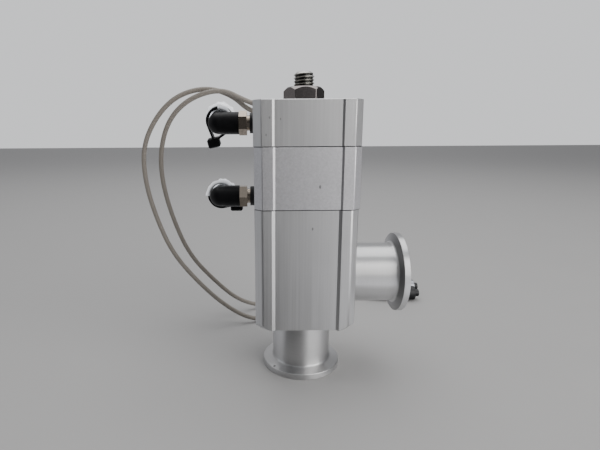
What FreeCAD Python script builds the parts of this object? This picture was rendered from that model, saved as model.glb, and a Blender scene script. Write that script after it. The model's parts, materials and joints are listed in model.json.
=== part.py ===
"""Two-stage high vacuum angle valve, 25 mm size, in millimetres.

The origin is the centre of the lower port's face, +Z runs up the valve's axis and +X points out of
the side port. At rest the valve is closed, with both pistons down.
"""
import FreeCAD
import Part
import math
import os
import Sketcher
from types import SimpleNamespace

DRIVING_SIZES = [
    # Ports and body
    ("flange_diameter", 40.0, "clamp flange"),
    ("flange_rim", 3.0, "straight edge of the flange"),
    ("flange_taper", 15.0, "slope of the clamp face, degrees"),
    ("neck_diameter", 29.8, "outside of both necks"),
    ("port_bore", 26.0, "bore of both ports"),
    ("side_port_level", 50.0, "lower face to side axis"),
    ("side_port_reach", 50.0, "main axis to side face"),
    ("body_width", 47.4, "across the body's flats"),
    ("body_base", 28.2, "underside of the body"),
    ("body_height", 58.0, "extruded length of the body"),
    ("body_corner", 3.4, "corner chamfer of the body"),
    ("turned_margin", 5.0, "turned underside's circle beyond the flats"),
    ("body_floor", 3.0, "thickness under the seat"),
    ("chamber_bore", 34.8, "bore around the valve disc"),
    ("panel_margin", 8.6, "body's flat to the middle of a sunk panel's sloped edge"),
    ("panel_slope", 0.5, "depth of a sunk panel over the width of its sloped edge"),
    ("body_slope_width", 1.5, "sloped edges of the body's panels"),
    ("block_slope_width", 1.0, "sloped edges of the blocks' panels"),
    ("root_fillet", 1.0, "between flange and neck"),
    ("joint_break", 0.25, "chamfer at the joints of the blocks"),
    ("edge_break", 0.4, "small chamfers"),
    # Cylinder blocks
    ("block_margin", 0.6, "blocks wider than the body"),
    ("block_corner", 3.6, "corner chamfer of the blocks"),
    ("main_block_height", 28.0, "middle block"),
    ("main_block_shift", 0.3, "middle block sits this far to the right"),
    ("main_bore", 36.0, "bore of the main cylinder"),
    ("main_ceiling", 4.0, "wall between the cylinders"),
    ("upper_block_height", 20.0, "top block"),
    ("upper_bore", 30.0, "bore of the upper cylinder"),
    ("upper_ceiling", 5.0, "wall over the upper cylinder"),
    ("bolt_diameter", 4.0, "cylinder bolts"),
    ("bolt_length", 60.0, "under the head"),
    ("bolt_head_diameter", 7.0, "socket head"),
    ("bolt_head_height", 4.0, "socket head"),
    ("bolt_key", 3.0, "hexagon socket of the bolts"),
    ("bolt_play", 0.2, "radial play of a clearance hole"),
    # Bonnet plate and seals
    ("plate_diameter", 42.6, "bonnet plate"),
    ("plate_thickness", 4.0, "bonnet plate"),
    ("plate_hub_diameter", 20.0, "hub over the stem bush"),
    ("plate_hub_height", 4.0, "hub over the stem bush"),
    ("bush_diameter", 15.0, "outside of the stem bush"),
    ("bush_length", 4.5, "stem bush"),
    ("seal_section", 1.8, "cord of the small O-rings"),
    ("slide_play", 0.05, "radial play of the guided fits"),
    ("seat_play", 0.05, "radial play of pieces that are fitted and stay"),
    # Main valve
    ("disc_diameter", 32.4, "valve disc"),
    ("disc_thickness", 5.2, "valve disc"),
    ("disc_standoff", 0.5, "seal's stand-out under the disc"),
    ("disc_seal_radius", 14.5, "middle of the disc seal"),
    ("disc_seal_section", 2.4, "cord of the disc seal"),
    ("orifice_bore", 6.0, "orifice of the initial exhaust"),
    ("orifice_length", 5.0, "underside to the orifice's seat"),
    ("hub_diameter", 18.0, "hub on the disc"),
    ("hub_height", 10.8, "hub on the disc"),
    ("hub_bore", 13.0, "room around the initial exhaust valve"),
    ("vent_bore", 3.2, "radial holes of the hub"),
    ("stem_diameter", 12.0, "hollow stem"),
    ("stem_bore", 5.0, "clear bore of the stem"),
    ("spigot_length", 2.0, "stem's spigot in the hub"),
    ("collar_diameter", 21.0, "stem's collar under the bellows"),
    ("collar_thickness", 2.5, "stem's collar under the bellows"),
    ("stem_neck_diameter", 9.0, "threaded end of the stem"),
    ("stem_neck_length", 7.4, "threaded end above the shoulder"),
    ("bellows_outer", 25.6, "crests of the bellows"),
    ("bellows_inner", 18.6, "roots of the bellows"),
    ("bellows_wall", 0.4, "sheet of the bellows"),
    ("bellows_folds", 9.0, "number of folds"),
    ("main_piston_rest", 5.7, "joint to the piston's underside"),
    ("main_piston_height", 10.0, "main piston"),
    ("piston_play", 0.1, "radial play of the pistons"),
    ("piston_web", 2.4, "crown under the spring"),
    ("piston_rim", 4.0, "wall outside the spring pocket"),
    ("piston_nut_flats", 13.0, "nut on the stem"),
    ("piston_nut_height", 4.0, "nut on the stem"),
    ("piston_nut_chamfer", 30.0, "nut on the stem, degrees"),
    ("ring_depth", 2.0, "grooves of seal and magnet"),
    ("main_wire", 1.6, "wire of the main spring"),
    ("main_coil_radius", 11.0, "middle of the main spring"),
    ("main_coil_turns", 4.0, "turns of the main spring"),
    # Initial exhaust valve
    ("rod_diameter", 4.0, "initial exhaust rod"),
    ("head_diameter", 10.4, "initial exhaust valve head"),
    ("head_thickness", 2.5, "initial exhaust valve head"),
    ("head_seal_outer", 9.4, "bonded face seal"),
    ("head_seal_inner", 6.8, "bonded face seal"),
    ("head_standoff", 0.3, "face seal's stand-out"),
    ("head_wire", 0.7, "wire of the small spring"),
    ("head_coil_radius", 3.8, "middle of the small spring"),
    ("head_coil_turns", 3.0, "turns of the small spring"),
    ("rod_collar_diameter", 6.4, "collar that the piston lifts"),
    ("rod_collar_height", 2.0, "collar that the piston lifts"),
    ("rod_tip", 1.0, "rod above the collar"),
    ("initial_piston_rest", 1.0, "joint to the piston's underside"),
    ("initial_piston_height", 6.0, "initial exhaust piston"),
    ("initial_piston_web", 3.2, "crown under the spring"),
    ("initial_ring_depth", 2.4, "grooves of its seal and magnet"),
    ("initial_lift", 3.0, "travel set by the adjusting screw"),
    ("stop_play", 0.1, "gap left at the stop"),
    ("initial_wire", 1.2, "wire of the upper spring"),
    ("initial_coil_radius", 10.0, "middle of the upper spring"),
    ("initial_coil_turns", 4.0, "turns of the upper spring"),
    # Adjusting screw and lock nut
    ("screw_diameter", 9.9, "adjusting screw over its thread"),
    ("screw_above", 14.1, "screw above the top block"),
    ("screw_bore", 6.8, "room for the rod's collar"),
    ("screw_bore_depth", 12.4, "room for the rod's collar"),
    ("screw_key", 5.0, "hexagon socket of the screw"),
    ("screw_key_depth", 4.0, "hexagon socket of the screw"),
    ("screw_point", 1.6, "radial size of the chamfer at the screw's top"),
    ("nut_flats", 17.0, "lock nut"),
    ("nut_height", 7.1, "lock nut"),
    ("nut_chamfer", 45.0, "lock nut's chamfer, degrees"),
    ("nut_turn", 4.1, "lock nut's corner off the front, degrees"),
    # Elbow fittings
    ("upper_port_level", 10.9, "joint to the upper pilot port"),
    ("main_port_level", 3.6, "joint to the lower pilot port"),
    ("pilot_thread", 5.0, "pilot port thread"),
    ("pilot_thread_depth", 5.0, "pilot port thread"),
    ("pilot_passage", 2.4, "passage behind the thread"),
    ("gasket_diameter", 9.6, "black gasket"),
    ("upper_gasket_thickness", 2.4, "black gasket"),
    ("lower_gasket_thickness", 2.9, "black gasket"),
    ("stud_collar_diameter", 7.3, "round collar of the stud"),
    ("stud_collar_length", 1.4, "round collar of the stud"),
    ("stud_flats", 10.0, "hexagon of the stud"),
    ("stud_hex_length", 3.75, "hexagon of the stud"),
    ("stud_thread_length", 4.6, "thread in the port"),
    ("stud_bore", 2.2, "air way"),
    ("spigot_diameter", 6.4, "stud's spigot in the elbow"),
    ("spigot_reach", 5.0, "stud's spigot in the elbow"),
    ("elbow_diameter", 10.2, "heel and outlet of the elbow"),
    ("elbow_band_step", 0.2, "band round the arm outside the elbow"),
    ("elbow_band_end", 2.6, "band to the outlet's axis"),
    ("elbow_gap", 0.2, "elbow to the hexagon"),
    ("elbow_arm", 9.95, "hexagon to the outlet's axis"),
    ("outlet_length", 17.0, "outlet's axis length"),
    ("upper_swivel", 13.0, "upper outlet turned up, degrees"),
    ("lower_swivel", -2.0, "lower outlet turned up, degrees"),
    ("tube_bore", 4.2, "bore for the tube"),
    ("release_diameter", 7.2, "release button"),
    ("release_length", 3.0, "release button"),
    ("release_reach", 1.4, "release button outside the elbow"),
    # Dust covers and cable ties
    ("cover_wall", 0.4, "film of the dust cover"),
    ("cover_start", 5.7, "outlet's axis to the cover's mouth"),
    ("cover_neck_radius", 5.85, "cover under the tie"),
    ("cover_neck_length", 4.4, "cover under the tie"),
    ("cover_bag_radius", 7.5, "widest part of the cover"),
    ("cover_length", 16.5, "mouth to tail of the cover"),
    ("tie_width", 4.0, "cable tie"),
    ("tie_thickness", 1.0, "cable tie"),
    ("tie_gap", 0.1, "tie to cover"),
    ("tie_reach", 0.2, "tie in front of the cover's mouth"),
    ("tie_head", 6.2, "head of the cable tie"),
    ("upper_head_angle", -108.3, "place of the upper tie's head round the loop, degrees"),
    ("upper_head_reach", 3.95, "upper tie's head beyond the loop"),
    ("upper_head_turn", 12.0, "turn of the upper tie's head, degrees"),
    ("lower_head_angle", -38.3, "place of the lower tie's head round the loop, degrees"),
    ("lower_head_reach", 1.95, "lower tie's head beyond the loop"),
    ("lower_head_turn", 0.0, "turn of the lower tie's head, degrees"),
    # Switches, leads and plugs
    ("slot_offset", 8.0, "axis to each switch slot"),
    ("slot_width", 3.0, "mouth of the slot"),
    ("slot_round", 4.3, "round bottom of the slot"),
    ("slot_centre_depth", 2.6, "rear face to the slot's centre"),
    ("switch_diameter", 4.0, "switch body"),
    ("switch_length", 20.0, "switch body"),
    ("switch_rise", 0.1, "joint to the switch's lower end"),
    ("lead_diameter", 2.7, "switch lead"),
    ("plug_diameter", 9.6, "moulded plug"),
    ("plug_sleeve", 8.0, "tapered sleeve on the lead"),
    ("plug_shoulder", 3.0, "sleeve to the grip"),
    ("plug_grip", 13.0, "grip of the plug"),
    ("plug_tip", 3.0, "plug beyond its nut"),
    ("plug_nut_diameter", 10.0, "coupling nut"),
    ("plug_nut_length", 12.0, "coupling nut"),
]

# Leads: where each one bends after it has left its switch, chosen by hand from its real course
LEAD_RISE = 9.0
LEAD_POINTS = {
    "outer": [
        (8.0, 28.3, 126.6), (-1.4, 34.5, 133.8), (-14.4, 36.6, 132.2), (-26.6, 34.3, 132.3),
        (-36.5, 34.2, 141.4), (-50.6, 35.4, 145.9), (-67.1, 35.5, 142.1), (-79.7, 36.1, 131.0),
        (-88.8, 36.4, 113.9), (-89.1, 37.6, 93.2), (-84.1, 38.9, 71.3), (-76.1, 40.6, 49.5),
        (-62.6, 43.2, 30.5), (-45.5, 45.7, 12.5), (-26.9, 46.2, 1.5), (-8.1, 53.5, 1.5),
        (8.0, 62.0, 1.5), (21.0, 72.0, 1.5), (33.0, 80.5, 3.0), (44.0, 85.0, 5.0),
        (55.4, 85.0, 5.0),
    ],
    "inner": [
        (-8.0, 28.0, 126.7), (-17.0, 33.3, 134.3), (-29.2, 30.7, 138.1), (-42.2, 30.8, 144.7),
        (-59.7, 32.0, 140.2), (-72.5, 34.1, 129.1), (-79.0, 36.8, 111.9), (-79.9, 40.9, 92.0),
        (-75.2, 45.6, 68.0), (-67.2, 50.1, 45.2), (-53.8, 56.1, 26.8), (-38.4, 63.5, 9.3),
        (-22.5, 70.5, 1.5), (-6.0, 79.0, 1.5), (9.0, 86.5, 1.5), (23.0, 93.0, 1.5),
        (36.0, 97.5, 3.2), (48.0, 99.0, 5.0), (59.4, 99.0, 5.0),
    ],
}

DOC = FreeCAD.newDocument("AngleValve")
PARTS = []


class Size:
    """A number of the model together with the sheet formula that gives it."""

    def __init__(self, value, formula):
        self.value = float(value)
        self.formula = formula

    def __add__(self, other):
        other = as_size(other)
        return Size(self.value + other.value, f"({self.formula} + {other.formula})")

    def __sub__(self, other):
        other = as_size(other)
        return Size(self.value - other.value, f"({self.formula} - {other.formula})")

    def __mul__(self, other):
        other = as_size(other)
        return Size(self.value * other.value, f"({self.formula} * {other.formula})")

    def __truediv__(self, other):
        other = as_size(other)
        return Size(self.value / other.value, f"({self.formula} / {other.formula})")

    def __neg__(self):
        return Size(-self.value, f"(0 - {self.formula})")

    def __radd__(self, other):
        return as_size(other) + self

    def __rsub__(self, other):
        return as_size(other) - self

    def __rmul__(self, other):
        return as_size(other) * self


def as_size(number):
    """Take a Size as it is and wrap a plain number."""
    if isinstance(number, Size):
        return number
    return Size(number, f"{number:.6f}")


def tangent(angle):
    """Tangent of an angle in degrees that comes from the sheet."""
    return Size(math.tan(math.radians(angle.value)), f"tan({angle.formula} * 1 deg)")


def make_sheet():
    """Write the driving sizes to the sheet and return them by name."""
    sheet = DOC.addObject("Spreadsheet::Sheet", "Sizes")
    named = SimpleNamespace()
    for row, (alias, value, note) in enumerate(DRIVING_SIZES, start=1):
        sheet.set(f"A{row}", alias)
        sheet.set(f"B{row}", str(value))
        sheet.set(f"C{row}", note)
        sheet.setAlias(f"B{row}", alias)
        setattr(named, alias, Size(value, f"Sizes.{alias}"))
    DOC.recompute()
    return named


S = make_sheet()

# Levels of the stack, from the lower port's face
BODY_TOP = S.body_base + S.body_height
MAIN_TOP = BODY_TOP + S.main_block_height
VALVE_TOP = MAIN_TOP + S.upper_block_height
SEAT = S.body_base + S.body_floor
DISC_BASE = SEAT + S.disc_standoff
HUB_BASE = DISC_BASE + S.disc_thickness
HUB_TOP = HUB_BASE + S.hub_height
BELLOWS_BASE = HUB_TOP + S.collar_thickness
PLATE_BASE = BODY_TOP - S.plate_thickness
PISTON_BASE = BODY_TOP + S.main_piston_rest
PISTON_SPRING_SEAT = PISTON_BASE + S.piston_web
MAIN_CEILING = MAIN_TOP - S.main_ceiling
HEAD_SEAT = DISC_BASE + S.orifice_length
HEAD_BASE = HEAD_SEAT + S.head_standoff
INITIAL_PISTON_BASE = MAIN_TOP + S.initial_piston_rest
INITIAL_PISTON_TOP = INITIAL_PISTON_BASE + S.initial_piston_height
UPPER_CEILING = VALVE_TOP - S.upper_ceiling
SCREW_BASE = INITIAL_PISTON_TOP + S.initial_lift + S.stop_play

# Widths that line up across the stack; the bolts stand midway between plate and corner
BLOCK_WIDTH = S.body_width + S.block_margin
PANEL_OFFSET = S.body_width / 2 - S.panel_margin
CORNER_REACH = (BLOCK_WIDTH - S.block_corner) / math.sqrt(2.0)
BOLT_OFFSET = (CORNER_REACH - S.bolt_head_diameter / 2 + S.plate_diameter / 2
               + S.bolt_diameter / 2) / math.sqrt(8.0)


def bind(item, path, size):
    """Bind a property to a formula and set its value at once."""
    item.setExpression(path, as_size(size).formula)


def place(item, x=0, y=0, z=0, rotation=None):
    """Put a sub-part at a place that the sheet gives."""
    spot = FreeCAD.Vector(as_size(x).value, as_size(y).value, as_size(z).value)
    item.Placement = FreeCAD.Placement(spot, rotation or FreeCAD.Rotation())
    for axis, size in (("x", x), ("y", y), ("z", z)):
        if isinstance(size, Size):
            bind(item, f"Placement.Base.{axis}", size)


def keep(item, label):
    """Register a finished sub-part under the name of its file."""
    item.Label = label
    PARTS.append(item)
    return item


def new_body(label, x=0, y=0, z=0, rotation=None):
    """Start a sub-part that is built from sketches."""
    body = DOC.addObject("PartDesign::Body", label)
    place(body, x, y, z, rotation)
    return keep(body, label)


def new_sketch(body, name, role, level=None):
    """Attach a sketch to one of the body's own origin planes, if need be at a level above it."""
    sketch = body.newObject("Sketcher::SketchObject", name)
    plane = next(item for item in body.Origin.OriginFeatures if item.Role == role)
    sketch.AttachmentSupport = [(plane, "")]
    sketch.MapMode = "FlatFace"
    if level is not None:
        level = as_size(level)
        sketch.AttachmentOffset = FreeCAD.Placement(
            FreeCAD.Vector(0, 0, level.value), FreeCAD.Rotation())
        bind(sketch, "AttachmentOffset.Base.z", level)
    return sketch


def hold(sketch, kind, first, first_point, second, second_point, size):
    """Dimension one coordinate of a point from the sketch's origin."""
    size = as_size(size)
    index = sketch.addConstraint(Sketcher.Constraint(
        kind, first, first_point, second, second_point, size.value))
    bind(sketch, f"Constraints[{index}]", size)


def add_outline(sketch, points):
    """Draw a closed outline whose corners are all tied to the sheet."""
    points = [(as_size(x), as_size(y)) for x, y in points]
    corners = [FreeCAD.Vector(x.value, y.value, 0) for x, y in points]
    start = len(sketch.Geometry)
    count = len(points)
    for here, there in zip(corners, corners[1:] + corners[:1]):
        sketch.addGeometry(Part.LineSegment(here, there), False)
    for index in range(count):
        following = start + (index + 1) % count
        sketch.addConstraint(Sketcher.Constraint("Coincident", start + index, 2, following, 1))
    for index, (x, y) in enumerate(points):
        hold(sketch, "DistanceX", -1, 1, start + index, 1, x)
        hold(sketch, "DistanceY", -1, 1, start + index, 1, y)


def add_circle(sketch, x, y, radius):
    """Draw a circle whose centre and radius are tied to the sheet."""
    x, y, radius = as_size(x), as_size(y), as_size(radius)
    centre = FreeCAD.Vector(x.value, y.value, 0)
    circle = sketch.addGeometry(Part.Circle(centre, FreeCAD.Vector(0, 0, 1), radius.value), False)
    hold(sketch, "DistanceX", -1, 1, circle, 3, x)
    hold(sketch, "DistanceY", -1, 1, circle, 3, y)
    index = sketch.addConstraint(Sketcher.Constraint("Radius", circle, radius.value))
    bind(sketch, f"Constraints[{index}]", radius)


def revolve(body, name, points, role="XZ_Plane", axis="V_Axis", cut=False):
    """Turn an outline about an axis of its own plane, adding to or cutting from the body."""
    sketch = new_sketch(body, name + "Outline", role)
    add_outline(sketch, points)
    kind = "PartDesign::Groove" if cut else "PartDesign::Revolution"
    feature = body.newObject(kind, name)
    feature.Profile = sketch
    feature.ReferenceAxis = (sketch, [axis])
    feature.Angle = 360
    return feature


def pad(body, name, sketch, length, reverse=False):
    """Raise a sketch by a length."""
    feature = body.newObject("PartDesign::Pad", name)
    feature.Profile = sketch
    feature.Length = as_size(length).value
    bind(feature, "Length", length)
    feature.Reversed = reverse
    return feature


def pocket(body, name, sketch, depth, reverse=False):
    """Sink a sketch by a depth; reversed, it cuts along the sketch's normal."""
    feature = body.newObject("PartDesign::Pocket", name)
    feature.Profile = sketch
    feature.Length = as_size(depth).value
    bind(feature, "Length", depth)
    feature.Reversed = reverse
    return feature


def hexagon(flats, turn=0.0):
    """Corners of a hexagon with a given size across its flats."""
    reach = as_size(flats) / math.sqrt(3.0)
    corners = []
    for step in range(6):
        angle = math.radians(60.0 * step + turn)
        corners.append((reach * round(math.cos(angle), 6), reach * round(math.sin(angle), 6)))
    return corners


def panel_depth(slope_width):
    """Depth of the sunk panels whose sloped edges have a given width."""
    return slope_width * S.panel_slope


def block_outline(width, corner, slope_width, shift=0.0):
    """Extruded section with chamfered corners and a sunk panel in each face."""
    half = width / 2
    flat = half - corner
    sunk = half - panel_depth(slope_width)
    near = PANEL_OFFSET - slope_width / 2
    far = PANEL_OFFSET + slope_width / 2
    side = [(-flat, half), (-far, half), (-near, sunk), (near, sunk), (far, half), (flat, half)]
    outline = []
    for quarter in range(4):
        for along, out in side:
            turned = [(along, out), (out, -along), (-along, -out), (-out, along)][quarter]
            outline.append((turned[0] + shift, turned[1]))
    return outline


def break_end(body, name, extrusion, level):
    """Chamfer the rim of an extrusion at one end."""
    DOC.recompute()
    level = as_size(level).value
    rim = [f"Edge{number}" for number, edge in enumerate(extrusion.Shape.Edges, start=1)
           if all(abs(corner.Z - level) < 0.001 for corner in edge.Vertexes)]
    chamfer = body.newObject("PartDesign::Chamfer", name)
    chamfer.Base = (extrusion, rim)
    chamfer.Size = S.joint_break.value
    bind(chamfer, "Size", S.joint_break)
    return chamfer


def bolt_spots():
    """Places of the four cylinder bolts."""
    return [(BOLT_OFFSET * side_x, BOLT_OFFSET * side_y)
            for side_x in (-1, 1) for side_y in (-1, 1)]


def add_bolt_holes(body, name, radius, top, depth):
    """Drill the four bolt holes down from a level."""
    sketch = new_sketch(body, name + "Sketch", "XY_Plane", top)
    for x, y in bolt_spots():
        add_circle(sketch, x, y, radius)
    return pocket(body, name, sketch, depth)


def o_ring(label, radius, section, level):
    """O-ring whose middle circle lies at a level on the main axis."""
    ring = DOC.addObject("Part::Torus", label)
    ring.Radius1 = as_size(radius).value
    ring.Radius2 = as_size(section).value / 2
    bind(ring, "Radius1", radius)
    bind(ring, "Radius2", as_size(section) / 2)
    place(ring, z=level)
    return keep(ring, label)


def make_ring(label, inner, outer, height, level):
    """Plain ring of rectangular section on the main axis."""
    body = new_body(label, z=level)
    revolve(body, label + "Turn", [(inner, 0), (outer, 0), (outer, height), (inner, height)])
    return body


def make_port(label, role, reach, root, level=0):
    """Turned flange and neck of one port, welded on the body, about the vertical or side axis."""
    rim = S.flange_diameter / 2
    neck = S.neck_diameter / 2
    bore = S.port_bore / 2
    lip = S.flange_rim
    edge = S.edge_break / 2
    slope = math.radians(S.flange_taper.value)
    fillet = S.root_fillet
    rise = (fillet + (rim - neck - fillet) * math.sin(slope)) / math.cos(slope)
    fillet_end = lip + rise
    turn = FreeCAD.Rotation()
    spot = (0, 0, 0)
    if role == "side":
        turn = FreeCAD.Rotation(FreeCAD.Vector(0, 1, 0), -90)
        spot = (reach, 0, level)
    flange = new_body(label + "_flange", *spot, turn)
    hollow = []
    for step in range(5):
        angle = math.pi + (math.pi / 2 - slope) * (1 - step / 4)
        hollow.append((neck + fillet + fillet * math.cos(angle),
                       fillet_end + fillet * math.sin(angle)))
    revolve(flange, label + "FlangeTurn", [
        (bore, 0), (rim - edge, 0), (rim, edge), (rim, lip - edge), (rim - edge, lip),
        *hollow, (bore, fillet_end)])
    tube = new_body(label + "_neck", *spot, turn)
    revolve(tube, label + "NeckTurn", [
        (bore, fillet_end), (neck, fillet_end), (neck, reach - root), (bore, reach - root)])


def make_valve_body():
    """Extruded body with two turned ports, seat, chamber and bonnet recess."""
    body = new_body("valve_body")
    section = new_sketch(body, "BodySection", "XY_Plane", S.body_base)
    add_outline(section, block_outline(S.body_width, S.body_corner, S.body_slope_width))
    extrusion = pad(body, "BodyExtrusion", section, S.body_height)
    break_end(body, "BodyTopEdge", extrusion, BODY_TOP)

    start = S.body_width / 2 + S.turned_margin
    reach = S.body_width
    revolve(body, "TurnedUnderside",
            [(start, S.body_base), (reach, S.body_base), (reach, S.body_base + reach - start)],
            cut=True)

    bore = S.port_bore / 2
    chamber = S.chamber_bore / 2
    recess = S.plate_diameter / 2 + S.seat_play
    revolve(body, "Chamber", [
        (0, 0), (bore, 0), (bore, SEAT), (chamber, SEAT), (chamber, PLATE_BASE),
        (recess, PLATE_BASE), (recess, BODY_TOP), (0, BODY_TOP)], cut=True)
    side_bore = new_sketch(body, "SideBoreCircle", "YZ_Plane", S.body_width / 2)
    add_circle(side_bore, 0, S.side_port_level, bore)
    pocket(body, "SideBore", side_bore, S.body_width / 2 - bore)
    sunk = panel_depth(S.body_slope_width)
    side_seat = new_sketch(body, "SideSeatCircle", "YZ_Plane", S.body_width / 2)
    add_circle(side_seat, 0, S.side_port_level, S.neck_diameter / 2 + S.seat_play)
    pocket(body, "SideSeat", side_seat, sunk)
    make_port("lower_port", "lower", S.body_base, 0)
    make_port("side_port", "side", S.side_port_reach, S.body_width / 2 - sunk,
              S.side_port_level)

    middle = plate_seal_radius()
    half = S.seal_section / 2
    revolve(body, "BonnetSealGroove", [
        (middle - half - S.seat_play, PLATE_BASE), (middle + half + S.seat_play, PLATE_BASE),
        (middle + half + S.seat_play, PLATE_BASE - S.seal_section),
        (middle - half - S.seat_play, PLATE_BASE - S.seal_section)], cut=True)
    depth = S.bolt_length - (S.upper_block_height - S.bolt_head_height - S.edge_break) \
        - S.main_block_height + S.edge_break * 4
    add_bolt_holes(body, "BodyBoltHoles", S.bolt_diameter / 2 + S.seat_play, BODY_TOP, depth)


def plate_seal_radius():
    """Middle of the ledge that carries the bonnet plate."""
    return (S.chamber_bore + S.plate_diameter) / 4


def add_switch_slots(body, name, centre_y, length):
    """Cut the two round-bottomed switch slots along the rear face."""
    sketch = new_sketch(body, name + "Rounds", "XY_Plane")
    for side in (-1, 1):
        add_circle(sketch, S.slot_offset * side, centre_y, S.slot_round / 2)
    pocket(body, name + "Round", sketch, length, reverse=True)
    sketch = new_sketch(body, name + "Mouths", "XY_Plane")
    half = S.slot_width / 2
    back = BLOCK_WIDTH / 2 + S.edge_break
    for side in (-1, 1):
        left = S.slot_offset * side - half
        right = S.slot_offset * side + half
        add_outline(sketch, [(left, centre_y), (right, centre_y), (right, back), (left, back)])
    pocket(body, name + "Mouth", sketch, length, reverse=True)


def slot_centre():
    """Distance of the switch slots' centres behind the main axis."""
    return BLOCK_WIDTH / 2 - S.slot_centre_depth


def add_pilot_port(body, name, level, face, bore):
    """Threaded pilot port in the left face with its passage into the cylinder."""
    sketch = new_sketch(body, name + "Thread", "YZ_Plane", -face)
    add_circle(sketch, 0, level, S.pilot_thread / 2 + S.seat_play)
    pocket(body, name + "ThreadHole", sketch, S.pilot_thread_depth, reverse=True)
    sketch = new_sketch(body, name + "Passage", "YZ_Plane", -face)
    add_circle(sketch, 0, level, S.pilot_passage / 2)
    pocket(body, name + "PassageHole", sketch, face - bore / 2 + S.edge_break, reverse=True)


def make_main_cylinder():
    """Middle block with the main bore, open below, and the wall that guides the rod."""
    body = new_body("main_cylinder", z=BODY_TOP)
    section = new_sketch(body, "MainSection", "XY_Plane")
    add_outline(section, block_outline(
        BLOCK_WIDTH, S.block_corner, S.block_slope_width, S.main_block_shift))
    extrusion = pad(body, "MainExtrusion", section, S.main_block_height)
    base_edge = break_end(body, "MainBaseEdge", extrusion, 0)
    break_end(body, "MainTopEdge", base_edge, S.main_block_height)
    bore = S.main_bore / 2
    rod = S.rod_diameter / 2 + S.slide_play
    ceiling = S.main_block_height - S.main_ceiling
    revolve(body, "MainBore", [
        (0, 0), (bore, 0), (bore, ceiling), (rod, ceiling),
        (rod, S.main_block_height), (0, S.main_block_height)], cut=True)
    seal = S.rod_diameter / 2 + S.slide_play + S.seal_section
    middle = ceiling + S.main_ceiling / 2
    half = S.seal_section / 2 + S.seat_play
    revolve(body, "RodSealGroove", [
        (rod - S.seat_play, middle - half), (seal, middle - half), (seal, middle + half),
        (rod - S.seat_play, middle + half)], cut=True)
    groove = S.upper_bore / 2 + S.seal_section
    revolve(body, "UpperSealGroove", [
        (groove - half, ceiling + S.main_ceiling - S.seal_section),
        (groove + half, ceiling + S.main_ceiling - S.seal_section),
        (groove + half, S.main_block_height), (groove - half, S.main_block_height)], cut=True)
    add_bolt_holes(body, "MainBoltHoles", S.bolt_diameter / 2 + S.bolt_play,
                   S.main_block_height, S.main_block_height)
    add_switch_slots(body, "MainSlots", slot_centre(), S.main_block_height)
    face = BLOCK_WIDTH / 2 - panel_depth(S.block_slope_width) - S.main_block_shift
    add_pilot_port(body, "MainPort", S.main_port_level, face, S.main_bore)


def make_upper_cylinder():
    """Top block with the bore of the initial exhaust piston and the screw's thread."""
    body = new_body("upper_cylinder", z=MAIN_TOP)
    section = new_sketch(body, "UpperSection", "XY_Plane")
    add_outline(section, block_outline(BLOCK_WIDTH, S.block_corner, S.block_slope_width))
    extrusion = pad(body, "UpperExtrusion", section, S.upper_block_height)
    base_edge = break_end(body, "UpperBaseEdge", extrusion, 0)
    break_end(body, "UpperTopEdge", base_edge, S.upper_block_height)
    bore = S.upper_bore / 2
    ceiling = S.upper_block_height - S.upper_ceiling
    screw = S.screw_diameter / 2 + S.seat_play
    revolve(body, "UpperBore", [
        (0, 0), (bore, 0), (bore, ceiling), (screw, ceiling),
        (screw, S.upper_block_height), (0, S.upper_block_height)], cut=True)
    head = S.bolt_head_height + S.edge_break
    add_bolt_holes(body, "UpperBoltHoles", S.bolt_diameter / 2 + S.bolt_play,
                   S.upper_block_height, S.upper_block_height)
    add_bolt_holes(body, "UpperHeadHoles", S.bolt_head_diameter / 2 + S.bolt_play,
                   S.upper_block_height, head)
    add_switch_slots(body, "UpperSlots", slot_centre(), S.upper_block_height)
    face = BLOCK_WIDTH / 2 - panel_depth(S.block_slope_width)
    add_pilot_port(body, "UpperPort", S.upper_port_level, face, S.upper_bore)


def make_bolts():
    """Four long socket-head bolts through both blocks into the body, as one group."""
    shank = S.bolt_diameter / 2
    head = S.bolt_head_diameter / 2
    bolts = []
    for number, (x, y) in enumerate(bolt_spots(), start=1):
        body = DOC.addObject("PartDesign::Body", f"Bolt{number}")
        place(body, x, y, VALVE_TOP - S.bolt_head_height - S.edge_break)
        revolve(body, f"Bolt{number}Turn", [
            (0, -S.bolt_length), (shank - S.edge_break, -S.bolt_length),
            (shank, S.edge_break - S.bolt_length), (shank, 0), (head, 0),
            (head, S.bolt_head_height - S.edge_break),
            (head - S.edge_break, S.bolt_head_height), (0, S.bolt_head_height)])
        socket = new_sketch(body, f"Bolt{number}Key", "XY_Plane", S.bolt_head_height)
        add_outline(socket, hexagon(S.bolt_key))
        pocket(body, f"Bolt{number}Socket", socket, S.bolt_head_height / 2)
        bolts.append(body)
    group = DOC.addObject("Part::Compound", "CylinderBolts")
    group.Links = bolts
    keep(group, "cylinder_bolts")


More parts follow.
